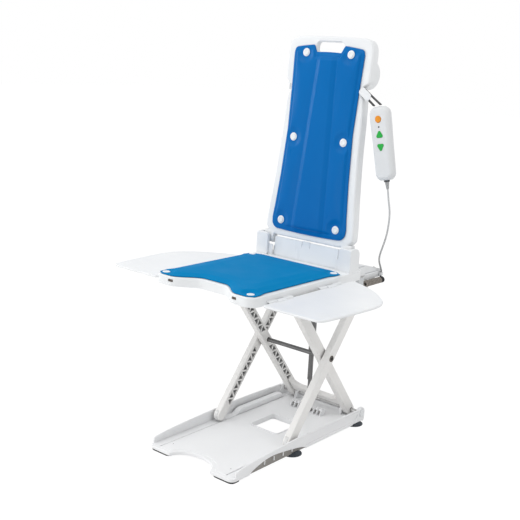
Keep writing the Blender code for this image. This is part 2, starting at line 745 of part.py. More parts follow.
def seat_outline():
    """The seat body's plan: a scalloped front, straight sides, drawn in behind the hinge posts."""
    post_rear = HINGE_Y + POST_RADIUS + SEAT_WALL
    shares = np.linspace(0, 1, 9)
    front = [(x, SEAT_FRONT_Y + scallop(x, SEAT_SCALLOP)) for x in (SCALLOP_HALF * shares).tolist()]
    right = [
        *front,
        *arc((SEAT_HALF - SEAT_CORNER, SEAT_FRONT_Y + SEAT_CORNER), SEAT_CORNER, -90, 0, 6),
        (SEAT_HALF, post_rear),
        (DECK_HALF, SEAT_BODY_REAR_Y - SEAT_CORNER),
        (DECK_HALF, SEAT_BODY_REAR_Y),
        (0, SEAT_BODY_REAR_Y),
    ]
    return mirrored(right)


def build_seat():
    """The seat plate with its deck, lugs, tracks, hinge posts and knuckles, and what is fixed to it."""
    body = axis_frame("seat_frame", (0, PIVOT_Y, UPPER_Z))
    bottom = SEAT_TOP - SEAT_SKIRT
    plan = seat_outline()
    edge = SEAT_WALL / 2
    seat = tray("seat_plate", plan, SEAT_TOP, SEAT_PLATE, bottom, SEAT_WALL, edge, body, WHITE)
    deck_front = SEAT_BODY_REAR_Y - edge
    deck_plan = block((-DECK_HALF, deck_front), (DECK_HALF, SEAT_REAR_Y), SEAT_WALL * 1.5)
    deck_low = DECK_TOP - DECK_SKIRT
    fuse(seat, tray("deck_tool", deck_plan, DECK_TOP, DECK_PLATE, deck_low, SEAT_WALL, edge / 2, body))
    throat_half = DECK_HALF - SEAT_WALL
    throat_plan = block((-throat_half, deck_front - edge), (throat_half, deck_front + 2 * SEAT_WALL))
    throat_low = deck_low - SEAT_WALL
    carve(seat, prism("throat_tool", throat_plan, "z", throat_low, DECK_TOP - DECK_PLATE, body))
    free_rest = PIVOT_Y - ARM_LENGTH * math.cos(ARM_RISE)
    free_low = PIVOT_Y - ARM_LENGTH * math.cos(ARM_LOW)
    sunk = SEAT_PLATE / 2
    for side, sign in SIDES.items():
        track_plan = block(
            (sign * INNER_ARM_X - TRACK_WIDTH / 2, free_low - TRACK_MARGIN),
            (sign * INNER_ARM_X + TRACK_WIDTH / 2, free_rest + TRACK_MARGIN),
        )
        track_low = UPPER_Z + ROLLER_RADIUS + GAP
        track = prism(f"track_tool_{side}", track_plan, "z", track_low, SEAT_TOP - sunk, body)
        lug_outline = arc((PIVOT_Y, UPPER_Z), LUG_RADIUS, 180, 360, 8)
        lug_outline.append((PIVOT_Y + LUG_RADIUS, DECK_TOP - sunk))
        lug_outline.append((PIVOT_Y - LUG_RADIUS, DECK_TOP - sunk))
        low, high = sorted((sign * (DECK_HALF - LUG), sign * (DECK_HALF - GAP)))
        lug = prism(f"seat_lug_tool_{side}", lug_outline, "x", low, high, body)
        post = build_post(side, sign, body)
        fuse(seat, track, lug, post)
        spans = seat_knuckles()
        for k, span in enumerate(spans):
            tool = f"seat_knuckle_tool_{side}_{k}"
            fuse(seat, build_knuckle(tool, sign, span, SEAT_HALF - sunk, body))
        pin = (sign * FLAP_HINGE_X, FLAP_HINGE_Z)
        bore = FLAP_PIN_RADIUS + BORE_PLAY
        tool = f"flap_bore_tool_{side}"
        carve(seat, rod(tool, pin, bore, FRONT_Y, SEAT_REAR_Y, "y", body, None, "small"))
        pin_low, pin_high = spans[0][0], spans[-1][1]
        rod(f"flap_pin_{side}", pin, FLAP_PIN_RADIUS, pin_low, pin_high, "y", body, STEEL, "small")
    reach = SEAT_WIDTH
    bore = SHAFT_RADIUS + BORE_PLAY
    carve(seat, rod("upper_bore_tool", (PIVOT_Y, UPPER_Z), bore, -reach, reach, "x", body))
    bore = HINGE_PIN_RADIUS + BORE_PLAY
    carve(seat, rod("post_bore_tool", (HINGE_Y, HINGE_Z), bore, -reach, reach, "x", body))
    bore = column_radii(COLUMN_STAGES)[1] + GAP
    carve(seat, rod("column_hole_tool", (0, COLUMN_Y), bore, DECK_TOP, HINGE_Z, "z", body))
    shaft_end = DECK_HALF - GAP
    rod("upper_pivot_shaft", (PIVOT_Y, UPPER_Z), SHAFT_RADIUS, -shaft_end, shaft_end, "x", body, STEEL)
    build_seat_cover(body, seat)
    build_lower_panel(body)
    build_drive(body)
    return body


def build_post(side, sign, body):
    """A D-shaped post with its round top about the recline axis."""
    front = HINGE_Y - POST_FRONT
    foot = SEAT_TOP - SEAT_PLATE / 2
    crown = arc((HINGE_Y, HINGE_Z), POST_RADIUS, 0, 90, 6)
    outline = [(front, foot), (HINGE_Y + POST_RADIUS, foot), *crown, (front, HINGE_Z + POST_RADIUS)]
    low, high = sorted((sign * POST_INNER_X, sign * (SEAT_HALF - SEAT_WALL / 2)))
    return prism(f"post_tool_{side}", outline, "x", low, high, body)


def flap_front():
    """The flaps' front edge."""
    return SEAT_FRONT_Y + FLAP_FRONT_SETBACK


def seat_knuckles():
    """The Y spans of the seat's hinge knuckles: one on each side of every flap knuckle."""
    spans = []
    for share in FLAP_HINGES:
        middle = flap_front() + share * FLAP_LENGTH
        spans.append((middle - 1.5 * KNUCKLE, middle - KNUCKLE / 2 - KNUCKLE_GAP))
        spans.append((middle + KNUCKLE / 2 + KNUCKLE_GAP, middle + 1.5 * KNUCKLE))
    return spans


def build_knuckle(name, sign, span, edge_x, body):
    """A hinge barrel with its web to an edge at edge_x."""
    on_seat = edge_x < FLAP_HINGE_X
    start, web = (-90, KNUCKLE_RADIUS) if on_seat else (90, -KNUCKLE_RADIUS / 2)
    outline = arc((FLAP_HINGE_X, FLAP_HINGE_Z), KNUCKLE_RADIUS, start, start + 180, 6)
    outline.append((edge_x, FLAP_HINGE_Z + web))
    outline.append((edge_x, FLAP_HINGE_Z - web))
    return prism(name, [(sign * a, b) for a, b in outline], "y", span[0], span[1], body)


def padded(name, columns, rows, place, height, lift, parent, finish):
    """A padded sheet: a grid of places in a plane, raised to a height, closed by a flat back.

    place(u, t) gives plane coordinates for u in -1..1 and t in 0..1, height(a, b, u, t) the thickness
    there, and lift(a, b, h) a point of the body's frame.
    """
    points = []
    for row in range(rows + 1):
        for column in range(columns + 1):
            u, t = 2 * column / columns - 1, row / rows
            a, b = place(u, t)
            points.append(lift(a, b, height(a, b, u, t)))
    width = columns + 1
    faces = []
    for row in range(rows):
        for column in range(columns):
            first = row * width + column
            faces.append((first, first + 1, first + width + 1, first + width))
    border = list(range(width))
    border += [row * width + columns for row in range(1, rows + 1)]
    border += [rows * width + column for column in range(columns - 1, -1, -1)]
    border += [row * width for row in range(rows - 1, 0, -1)]
    start = len(points)
    for index in border:
        row, column = divmod(index, width)
        a, b = place(2 * column / columns - 1, row / rows)
        points.append(lift(a, b, 0.0))
    count = len(border)
    for k in range(count):
        after = (k + 1) % count
        faces.append((border[k], border[after], start + after, start + k))
    faces.append(tuple(range(start, start + count)))
    return solid(name, points, faces, parent, finish)


def ease(value):
    """A smooth step from 0 to 1."""
    t = min(max(value, 0.0), 1.0)
    return t * t * (3 - 2 * t)


def build_seat_cover(body, seat):
    """The blue seat pad with corner ears and a scalloped front, held by four pegs."""
    rear = HINGE_Y - COVER_REAR + 2 * PEG_INSET
    front = PEG_FRONT_Y - COVER_INSET
    reach = PEG_X + COVER_INSET
    length = rear - front

    def place(u, t):
        across = abs(u)
        corner = ease((across - COVER_EAR) / (1 - COVER_EAR))
        start = front + scallop(u * reach, COVER_SCALLOP) + COVER_INSET * corner / 2
        stop = rear - COVER_INSET * corner
        b = start + t * (stop - start)
        waist = COVER_WAIST * ease((min(b - front, rear - b) - COVER_RIM) / (2 * COVER_RIM))
        return u * reach * (1 - waist), b

    def height(a, b, u, t):
        rim = min((1 - abs(u)) * reach, t * length, (1 - t) * length) / COVER_RIM
        ear = min(math.dist((abs(a), b), (PEG_X, y)) for y in (PEG_FRONT_Y, PEG_REAR_Y))
        return COVER_EDGE + COVER_CROWN * ease(rim) * ease((ear - COVER_EAR_FLAT) / COVER_INSET)

    def lift(a, b, h):
        return a, b, COVER_BASE_Z + h

    cover = padded("seat_cover", 24, 20, place, height, lift, body, BLUE)
    bore = PEG_STEM_RADIUS + BORE_PLAY
    for side, sign in SIDES.items():
        for end, y in (("front", PEG_FRONT_Y), ("rear", PEG_REAR_Y)):
            centre = (sign * PEG_X, y)
            tool = f"eye_tool_{end}_{side}"
            eye = rod(tool, centre, bore, DECK_TOP, HINGE_Z, "z", body, None, "small")
            carve(cover, eye)
            carve(seat, eye)
            build_cover_peg(f"cover_peg_{end}_{side}", centre, body)


def build_cover_peg(name, centre, body):
    """An oval peg head over the cover's ear, on a round stem."""
    under = COVER_BASE_Z + COVER_EDGE + GAP
    wide, narrow = PEG_HEAD
    levels = (
        (PEG_STEM_RADIUS, PEG_STEM_RADIUS, SEAT_TOP - SEAT_PLATE),
        (PEG_STEM_RADIUS, PEG_STEM_RADIUS, under),
        (wide, narrow, under),
        (wide, narrow, under + PEG_HEIGHT / 2),
        (wide * 0.7, narrow * 0.7, under + PEG_HEIGHT),
    )
    ring = circle((0, 0), 1, ROUND["small"])
    loops = [[(centre[0] + a * x, centre[1] + b * y, z) for x, y in ring] for a, b, z in levels]
    loft(name, loops, body, WHITE)


def back_plane_y(z):
    """Where the back's front plane stands at a height in the world."""
    return HINGE_Y + BACK_FRONT / math.cos(BACK_TILT) + (z - HINGE_Z) * math.tan(BACK_TILT)


def build_lower_panel(body):
    """The white panel that closes the gap between the seat and the back."""
    low = SEAT_TOP + GAP
    high = HINGE_Z + BACK_BOTTOM * 0.72
    outline = [
        (back_plane_y(low), low),
        (back_plane_y(low) + PANEL_PLATE, low),
        (back_plane_y(high) + PANEL_PLATE, high),
        (back_plane_y(high), high),
    ]
    panel = prism("lower_panel", outline, "x", -PANEL_HALF, PANEL_HALF, body, WHITE)
    tab_half, rise = PANEL_TAB[0] / 2, PANEL_TAB[1]
    front = back_plane_y(high)
    tab_outline = block((front, high - PANEL_PLATE), (front + PANEL_PLATE, high + rise))
    fuse(panel, prism("tab_tool", tab_outline, "x", -tab_half, tab_half, body))


def build_drive(body):
    """The rear housing over the deck, and the gear and motor unit in its hump."""
    front = HINGE_Y + HOUSING_FRONT
    step = SEAT_BODY_REAR_Y + GAP
    rear = SEAT_REAR_Y - HOUSING_REAR_SETBACK
    low, deck = SEAT_TOP + GAP, DECK_TOP + GAP
    top, rear_top = SEAT_TOP + HOUSING_HEIGHT, DECK_TOP + HOUSING_REAR_HEIGHT
    outline = [(front, low), (step, low), (step, deck), (rear, deck), (rear, rear_top), (front, top)]
    housing = prism("rear_housing", outline, "x", -HOUSING_HALF, HOUSING_HALF, body, WHITE)
    hump_y = (COLUMN_Y - HUMP_FRONT, COLUMN_Y + HUMP_REAR)
    hump_top = COLUMN_TOP + HUMP_CLEARANCE + HOUSING_WALL
    hump_plan = block((-HUMP_HALF, hump_y[0]), (HUMP_HALF, hump_y[1]), HOUSING_WALL * 2)
    fuse(housing, prism("hump_tool", hump_plan, "z", low + HOUSING_WALL, hump_top, body))
    wall = HOUSING_WALL
    slope = (rear_top - top) / (rear - front)
    inside = [
        (front + wall, DECK_TOP - wall),
        (rear - wall, DECK_TOP - wall),
        (rear - wall, rear_top + slope * -wall - wall),
        (front + wall, top + slope * wall - wall),
    ]
    hollow = prism("housing_hollow_tool", inside, "x", wall - HOUSING_HALF, HOUSING_HALF - wall, body)
    hump_low, hump_high = (-HUMP_HALF + wall, hump_y[0] + wall), (HUMP_HALF - wall, hump_y[1] - wall)
    hump_inside = block(hump_low, hump_high, wall)
    hump_hollow = prism("hump_hollow_tool", hump_inside, "z", DECK_TOP - 2 * wall, hump_top - wall, body)
    carve(housing, hollow, hump_hollow)
    gear_x, gear_y = GEAR_HALF
    gear_top = hump_top - wall - GAP * 5
    gear_plan = block((-gear_x, COLUMN_Y - gear_y), (gear_x, COLUMN_Y + gear_y), wall)
    drive = prism("drive_unit", gear_plan, "z", low, gear_top, body, LIGHT_GREY)
    motor_z = low + MOTOR_RADIUS + GAP
    motor = rod("motor_tool", (COLUMN_Y, motor_z), MOTOR_RADIUS, gear_x / 1.1, MOTOR_END, "x", body)
    fuse(drive, motor)
    bore = column_radii(COLUMN_STAGES)[1] + GAP
    carve(drive, rod("gear_bore_tool", (0, COLUMN_Y), bore, DECK_TOP, HINGE_Z, "z", body))


def flap_outline():
    """A right flap's plan: rounded outer front corner, long rounded taper at the rear."""
    front = flap_front()
    inner = FLAP_HINGE_X + FLAP_EDGE_OUT
    edge = [(inner + FLAP_REACH * a, front + FLAP_LENGTH * b) for a, b in FLAP_EDGE]
    return [(inner, front), *smooth(edge, 3), (inner, front + FLAP_LENGTH)]


def build_flaps():
    """Both side flaps, each turning on its hinge pin."""
    for side, sign in SIDES.items():
        body = frame(f"flap_frame_{side}", (sign * FLAP_HINGE_X, 0, FLAP_HINGE_Z))
        plan = [(sign * (a - FLAP_HINGE_X), b) for a, b in flap_outline()]
        half = FLAP_PLATE / 2
        rim = inset(plan, half * 0.8)
        loops = [
            [(a, b, half) for a, b in rim],
            [(a, b, half * 0.3) for a, b in plan],
            [(a, b, -half * 0.3) for a, b in plan],
            [(a, b, -half) for a, b in rim],
        ]
        flap = loft(f"flap_{side}", loops, body, WHITE)
        web = FLAP_HINGE_X + FLAP_EDGE_OUT + half
        for k, share in enumerate(FLAP_HINGES):
            middle = flap_front() + share * FLAP_LENGTH
            span = (middle - KNUCKLE / 2, middle + KNUCKLE / 2)
            fuse(flap, build_knuckle(f"flap_knuckle_tool_{side}_{k}", sign, span, web, None))
        bore = FLAP_PIN_RADIUS + BORE_PLAY
        hole = rod(f"flap_hole_tool_{side}", (0, 0), bore, FRONT_Y, SEAT_REAR_Y, "y", body, None, "small")
        carve(flap, hole)


def shell_outline():
    """The back shell's outline in its own frame: wide foot, slight waist, notch under each shoulder."""
    half = BACK_WIDTH / 2
    side = [(half - a, BACK_BOTTOM + BACK_HEIGHT * b) for a, b in SHELL_SIDE]
    return mirrored([(0, BACK_BOTTOM), *smooth(side, 2), (0, BACK_TOP)])


def build_back():
    """The back shell, its cover and plugs, hinge pins and the strap peg, in the recline frame."""
    body = frame("back_frame", (0, HINGE_Y, HINGE_Z), (-BACK_TILT, 0, 0))
    outline = shell_outline()
    face = inset(outline, BACK_EDGE * 0.8)
    hollow = inset(outline, BACK_WALL)
    rear = BACK_FRONT + BACK_DEPTH
    loops = [
        [(a, BACK_FRONT, b) for a, b in face],
        [(a, BACK_FRONT + BACK_EDGE, b) for a, b in outline],
        [(a, rear, b) for a, b in outline],
        [(a, rear, b) for a, b in hollow],
        [(a, BACK_FRONT + BACK_PLATE, b) for a, b in hollow],
    ]
    shell = loft("back_shell", loops, body, WHITE)
    for side, sign in SIDES.items():
        grip_middle = BACK_TOP - GRIP_DROP
        grip_start = BACK_FRONT + BACK_EDGE
        swell = arc((0, 0), 1, -90, 90, 10)
        deep, tall = GRIP_DEPTH - BACK_EDGE, GRIP_HEIGHT / 2
        grip_outline = [(grip_start + deep * a, grip_middle + tall * b) for a, b in swell]
        outer = BACK_WIDTH / 2 - GRIP_INSET
        low, high = sorted((sign * (outer - GRIP_WIDTH), sign * outer))
        grip = prism(f"grip_tool_{side}", grip_outline, "x", low, high, body)
        lug_rise = BACK_BOTTOM + BACK_LUG_RADIUS
        lug_outline = arc((0, 0), BACK_LUG_RADIUS, 180, 360, 8)
        lug_outline += [(BACK_LUG_RADIUS, lug_rise), (-BACK_LUG_RADIUS / 2, lug_rise)]
        low, high = sorted((sign * BACK_LUG_INNER, sign * BACK_LUG_OUTER))
        lug = prism(f"back_lug_tool_{side}", lug_outline, "x", low, high, body)
        fuse(shell, grip, lug)
        pin_inner = BACK_LUG_INNER + BACK_WALL / 2
        low, high = sorted((sign * (pin_inner - GAP), sign * SEAT_HALF))
        bore = HINGE_PIN_RADIUS + BORE_PLAY
        carve(shell, rod(f"pin_bore_tool_{side}", (0, 0), bore, low, high, "x", body))
        pin_low, pin_high = sorted((sign * pin_inner, sign * (SEAT_HALF - SEAT_WALL / 2)))
        rod(f"back_hinge_pin_{side}", (0, 0), HINGE_PIN_RADIUS, pin_low, pin_high, "x", body, STEEL)
    slot_half, slot_height = HANDLE_SLOT[0] / 2, HANDLE_SLOT[1]
    slot_low = BACK_TOP - HANDLE_DROP - slot_height / 2
    slot_plan = block((-slot_half, slot_low), (slot_half, slot_low + slot_height), slot_height / 3)
    slot = prism("slot_tool", slot_plan, "y", -BACK_DEPTH, BACK_FRONT + 2 * BACK_PLATE, body)
    carve(shell, slot)
    peg = strap_peg(body)
    build_strap_peg(shell, peg)
    build_back_cover(body, shell)
    return peg


def strap_peg(back):
    """The middle of the strap's peg in the world, from its place in the notch under the right shoulder."""
    x, y, z = STRAP_PEG
    return world_point(back, (BACK_WIDTH / 2 - x, BACK_FRONT + y, BACK_TOP + z))


def build_strap_peg(shell, place):
    """The hook under the right shoulder: a tab on the shell's side wall with a forward peg."""
    x, y, z = place
    around = PEG_RADIUS * 1.6
    tab_inner = BACK_WIDTH / 2 - NOTCH - BACK_WALL / 4
    tab_plan = block((tab_inner, z - around), (x + around, z + around), PEG_RADIUS)
    tab_front = y + STRAP_WIDTH / 2 + GAP
    tab = prism("tab_plate_tool", tab_plan, "y", tab_front, tab_front + BACK_WALL)
    front = y - STRAP_WIDTH / 2 - GAP
    profile = [
        (PEG_RADIUS, tab_front + BACK_WALL / 2),
        (PEG_RADIUS, front),
        (PEG_RADIUS * 1.5, front),
        (PEG_RADIUS * 1.5, front - BACK_WALL / 2),
    ]
    peg = turned("strap_peg_tool", profile, (x, z), None, None, False, "y")
    fuse(shell, tab, peg)


def build_back_cover(body, shell):
    """The blue back pad with two channels, six dimples and a recess under the handle slot."""
    bottom = BACK_BOTTOM + BACK_COVER_BOTTOM
    top = BACK_TOP - BACK_COVER_TOP
    height_span = top - bottom
    half = BACK_WIDTH / 2
    insets, levels = zip(*BACK_COVER_SIDE)
    plugs = {}
    for level, (inward, share) in PLUG_PLACES.items():
        for side, sign in SIDES.items():
            plugs[f"{level}_{side}"] = (sign * (half - inward), BACK_BOTTOM + share * BACK_HEIGHT)

    def reach(b):
        return half - float(np.interp((b - bottom) / height_span, levels, insets))

    def place(u, t):
        across = abs(u)
        corner = ease((across - 0.84) / 0.16)
        dip = BACK_COVER_RECESS * ease((0.46 - across) / 0.14)
        start = bottom + BACK_COVER_CORNER[0] * corner
        stop = top - dip - BACK_COVER_CORNER[1] * corner
        b = start + t * (stop - start)
        return u * reach(b), b

    def height(a, b, u, t):
        rim = min((1 - abs(u)) * half, t * height_span, (1 - t) * height_span) / BACK_COVER_RIM
        channel = float(np.interp(b, (bottom, top), CHANNEL_HALVES))
        groove = CHANNEL_DEPTH * math.exp(-(((abs(a) - channel) / CHANNEL_WIDTH) ** 2))
        rise = COVER_EDGE + BACK_COVER_CROWN * ease(rim) - groove * ease(rim)
        near = min(math.dist((a, b), plug) for plug in plugs.values())
        share = ease((near - DIMPLE_RADIUS) / DIMPLE_RADIUS)
        return min(rise, DIMPLE_THICKNESS) * (1 - share) + rise * share

    def lift(a, b, h):
        return a, BACK_FRONT - GAP - h, b

    cover = padded("back_cover", 26, 32, place, height, lift, body, BLUE)
    front = BACK_FRONT - GAP - DIMPLE_THICKNESS - GAP
    back = BACK_FRONT + BACK_PLATE - GAP
    bore = PLUG_STEM_RADIUS + BORE_PLAY
    for name, plug in plugs.items():
        tool = f"plug_hole_tool_{name}"
        hole = rod(tool, plug, bore, -BACK_DEPTH, BACK_DEPTH, "y", body, None, "small")
        carve(cover, hole)
        carve(shell, hole)
        profile = [
            (PLUG_STEM_RADIUS, back),
            (PLUG_STEM_RADIUS, front),
            (PLUG_RADIUS, front),
            (PLUG_RADIUS, front - PLUG_STEP),
            (PLUG_STEP_RADIUS, front - PLUG_STEP * 1.15),
            (PLUG_STEP_RADIUS, front - PLUG_STEP * 2),
        ]
        turned(f"cover_plug_{name}", profile, plug, body, WHITE, False, "y", "small")


def handset_outline():
    """The hand control's face: a long rounded shape, a little wider at the top."""
    half, end = HANDSET_WIDTH / 2, HANDSET_LENGTH / 2
    side = [
        (half * 0.55, -end + 0.0015),
        (half * 0.88, -end + 0.013),
        (half * 0.93, -end + 0.035),
        (half * 0.95, 0.0),
        (half, end - 0.035),
        (half * 0.93, end - 0.012),
        (half * 0.55, end - 0.0012),
    ]
    return mirrored([(0, -end), *smooth(side, 2), (0, end)])


def arrow_outline(level, sign):
    """A triangle with cut corners, pointing up or down."""
    turns = [sign * math.radians(90 + 120 * k + lean) for k in range(3) for lean in (-14, 14)]
    return [(ARROW_RADIUS * math.cos(t), level + ARROW_RADIUS * math.sin(t)) for t in turns]


def build_handset(peg):
    """The hand control's two shells, battery, buttons and bend relief, hanging from a peg."""
    body = frame("handset_frame", peg + Vector(HANDSET_HANG), (0, HANDSET_TILT, 0))
    outline = handset_outline()
    face = inset(outline, HANDSET_EDGE * 0.8)
    hollow = inset(outline, HANDSET_WALL)
    front, rear = -HANDSET_DEPTH / 2, HANDSET_DEPTH / 2
    parts = (
        ("handset_rear", rear, 1, HANDSET_SPLIT + GAP / 2),
        ("handset_front", front, -1, HANDSET_SPLIT - GAP / 2),
    )
    shells = {}
    for name, end, sign, split in parts:
        loops = [
            [(a, end, b) for a, b in face],
            [(a, end - sign * HANDSET_EDGE * 0.7, b) for a, b in outline],
            [(a, split, b) for a, b in outline],
            [(a, split, b) for a, b in hollow],
            [(a, end - sign * HANDSET_WALL, b) for a, b in hollow],
        ]
        shells[name] = loft(name, loops, body, WHITE)
    wide, tall, deep = BATTERY
    back = rear - HANDSET_WALL - GAP
    plan = block((-wide / 2, -tall / 2), (wide / 2, tall / 2), HANDSET_WALL)
    prism("handset_battery", plan, "y", back - deep, back, body, BLACK)
    inside = front + HANDSET_WALL + GAP
    stops = {
        "stop": (circle((0, BUTTON_LEVELS["stop"]), STOP_RADIUS, ROUND["large"]), ORANGE),
        "up": (arrow_outline(BUTTON_LEVELS["up"], 1), GREEN),
        "down": (arrow_outline(BUTTON_LEVELS["down"], -1), GREEN),
    }
    for name, (cap, finish) in stops.items():
        flange = inset(cap, -BUTTON_FLANGE)
        loops = [
            [(a, front - BUTTON_RISE, b) for a, b in inset(cap, BUTTON_RISE / 3)],
            [(a, front - BUTTON_RISE / 2, b) for a, b in cap],
            [(a, inside, b) for a, b in cap],
            [(a, inside, b) for a, b in flange],
            [(a, inside + BUTTON_FLANGE, b) for a, b in flange],
        ]
        loft(f"{name}_button", loops, body, finish)
        hole = inset(cap, -BUTTON_PLAY)
        carve(shells["handset_front"], prism(f"{name}_hole_tool", hole, "y", 2 * front, front / 2, body))
    end = -HANDSET_LENGTH / 2 - GAP
    wide, narrow = RELIEF_RADII
    profile = [(wide, end), (wide, end - RELIEF_COLLAR), (narrow, end - RELIEF_LENGTH)]
    turned("bend_relief", profile, (0, 0), body, LIGHT_GREY)
    build_strap(body, peg)
    return body


def world_point(body, place):
    """A point of a body's frame in the world."""
    bpy.context.view_layer.update()
    return body.matrix_world @ Vector(place)


def build_strap(handset, place):
    """A flat band from the hand control's top round the peg and back, lying in a plane of constant Y."""
    peg = np.array((place.x, place.z))
    radius = PEG_RADIUS + GAP * 1.5 + STRAP_THICKNESS / 2
    feet = []
    for x in STRAP_FOOT:
        top = handset_top(x) + GAP * 2
        spot = world_point(handset, (x, 0, top))
        feet.append(np.array((spot.x, spot.z)))
    start = tangent(peg, radius, feet[0], -1)
    stop = tangent(peg, radius, feet[1], 1)
    if stop > start:
        stop -= 360
    path = [feet[0], *arc(peg, radius, start, stop, 12), feet[1]]
    path = [np.array(p) for p in path]
    edge = offset_path(path, STRAP_THICKNESS / 2) + offset_path(path, -STRAP_THICKNESS / 2)[::-1]
    low, high = place.y - STRAP_WIDTH / 2, place.y + STRAP_WIDTH / 2
    prism("handset_strap", edge, "y", low, high, None, BLACK)


def handset_top(x):
    """The hand control's upper edge at a distance across it."""
    upper = sorted((a, b) for a, b in handset_outline() if b > 0)
    across, level = zip(*upper)
    return float(np.interp(x, across, level)) + STRAP_THICKNESS


def tangent(centre, radius, point, side):
    """The angle, in degrees, at which a line from a point touches a circle on one side."""
    away = point - centre
    turn = math.degrees(math.atan2(away[1], away[0]))
    return turn + side * math.degrees(math.acos(radius / np.linalg.norm(away)))


def offset_path(path, distance):
    """A plane path moved sideways by a distance."""
    moved = []
    for k, here in enumerate(path):
        ahead = path[min(k + 1, len(path) - 1)] - path[max(k - 1, 0)]
        normal = np.array((-ahead[1], ahead[0])) / np.linalg.norm(ahead)
        moved.append(tuple(here + distance * normal))
    return moved


def tube(name, points, resolution, finish):
    """A cord along points, with filled ends."""
    curve = bpy.data.curves.new(name, "CURVE")
    curve.dimensions = "3D"
    curve.bevel_depth = CORD_RADIUS
    curve.bevel_resolution = resolution
    curve.use_fill_caps = True
    spline = curve.splines.new("POLY")
    spline.points.add(len(points) - 1)
    for spot, point in zip(spline.points, points):
        spot.co = (*point, 1.0)
    return link(name, curve, None, finish)


def coil_points():
    """The curly length: a straight front end, curls round an axis along Y, an end that rises from them."""
    start, stop = COIL_Y
    end = 2 * CORD_RADIUS
    count = CURLS * CURL_POINTS
    points = [(COIL_X, start, COIL_Z), (COIL_X, start + end, COIL_Z)]
    low = start + 2 * end
    for k in range(count + 1):
        turn = 2 * math.pi * (CURLS + 0.25) / count * k
        y = low + (stop - low) * k / count
        x = COIL_X - CURL_RADIUS * math.sin(turn)
        points.append((x, y, COIL_Z - CURL_RADIUS * math.cos(turn)))
    points.append((COIL_X - CURL_RADIUS, stop, COIL_Z + end))
    return points


def least_self_gap(points, skip):
    """The least clear distance between stretches of a cord that are more than skip points apart."""
    fine = np.array(smooth(points, 4))
    away = np.linalg.norm(fine[:, None] - fine[None], axis=2)
    far = np.abs(np.subtract.outer(np.arange(len(fine)), np.arange(len(fine)))) > 4 * skip
    return float(away[far].min()) - 2 * CORD_RADIUS


def build_cord(handset, seat):
    """The lead from the hand control, the curly length it ends in, its socket and the lead's clip."""
    points = coil_points()
    tube("cord_coil", points, 1, CORD_GREY)
    print(f"least gap between curls: {least_self_gap(points, CURL_POINTS // 2) * 1000:.2f} mm")
    relief = -HANDSET_LENGTH / 2 - RELIEF_LENGTH - 2 * GAP
    first = world_point(handset, (0, 0, relief))
    second = world_point(handset, (0, 0, relief - 4 * CORD_RADIUS))
    last = Vector(points[-1]) + Vector((0, 0, GAP))
    between = [first.lerp(last, share) + Vector((x, y, 0)) for share, x, y in LEAD_ROUTE]
    upright = [last + Vector((0, 0, share * CORD_RADIUS)) for share in LEAD_FOOT]
    route = [first, second, *between, *upright]
    tube("cord_lead", smooth(route, 4), 2, CORD_GREY)
    wide, long = SOCKET_SIZE
    face = COIL_Y[0] - GAP
    plan = block((COIL_X - wide * 0.6, face - long), (COIL_X + wide * 0.4, face), wide / 6)
    top = SEAT_TOP - SEAT_SKIRT - GAP
    prism("cord_socket", plan, "z", COIL_Z - wide * 0.7, top, seat, LIGHT_GREY)
    clip_half, tall = CLIP_SIZE[0] / 2, CLIP_SIZE[1]
    clip_inner, clip_outer = DECK_HALF + GAP, last.x + clip_half
    plan = block((clip_inner, last.y - clip_half), (clip_outer, last.y + clip_half), CORD_RADIUS)
    clip_low = COIL_Z + CURL_RADIUS + 1.5 * CORD_RADIUS
    clip = prism("cord_clip", plan, "z", clip_low, clip_low + tall, seat, WHITE)
    bore = CORD_RADIUS + BORE_PLAY
    carve(clip, rod("clip_bore_tool", (last.x, last.y), bore, COIL_Z, SEAT_TOP, "z", seat))


def main():
    """Builds the whole lift."""
    clear_scene()
    base = build_base()
    build_scissor()
    build_column(base)
    seat = build_seat()
    build_flaps()
    peg = build_back()
    handset = build_handset(peg)
    build_cord(handset, seat)


main()
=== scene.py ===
"""The visual model of a scissor bath lift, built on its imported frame.

Metres, +Z up, front towards -Y. Each class makes one sub-assembly, each finish one material.
"""

import logging
import math
from collections.abc import Callable, Sequence
from dataclasses import dataclass
from enum import Enum

import bmesh
import bpy
import numpy as np
from mathutils import Matrix, Vector


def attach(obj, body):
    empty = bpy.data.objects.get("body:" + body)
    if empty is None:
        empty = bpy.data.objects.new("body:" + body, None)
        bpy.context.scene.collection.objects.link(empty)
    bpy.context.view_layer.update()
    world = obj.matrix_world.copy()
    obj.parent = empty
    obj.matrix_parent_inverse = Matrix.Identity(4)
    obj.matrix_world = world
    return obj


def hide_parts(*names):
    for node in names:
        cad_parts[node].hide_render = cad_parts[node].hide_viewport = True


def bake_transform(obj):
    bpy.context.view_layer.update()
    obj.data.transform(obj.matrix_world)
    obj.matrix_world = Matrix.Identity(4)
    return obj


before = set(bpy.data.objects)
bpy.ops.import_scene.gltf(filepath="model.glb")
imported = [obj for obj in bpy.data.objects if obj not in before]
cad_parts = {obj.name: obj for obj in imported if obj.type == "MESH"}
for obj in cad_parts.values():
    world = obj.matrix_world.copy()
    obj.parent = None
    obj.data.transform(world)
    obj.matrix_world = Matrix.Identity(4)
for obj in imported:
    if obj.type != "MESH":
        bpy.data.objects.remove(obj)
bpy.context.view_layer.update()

LOG = logging.getLogger("bath_lift")
Point = tuple[float, float, float]
Spot = tuple[float, float]
Outline = list[Spot]
Colour = tuple[float, float, float]
Field = np.ndarray
Thing = bpy.types.Object
Material = bpy.types.Material
Socket = bpy.types.NodeSocket
SIDES = {"left": -1, "right": 1}
WHITE_LIGHT = (1.0, 1.0, 1.0, 1.0)


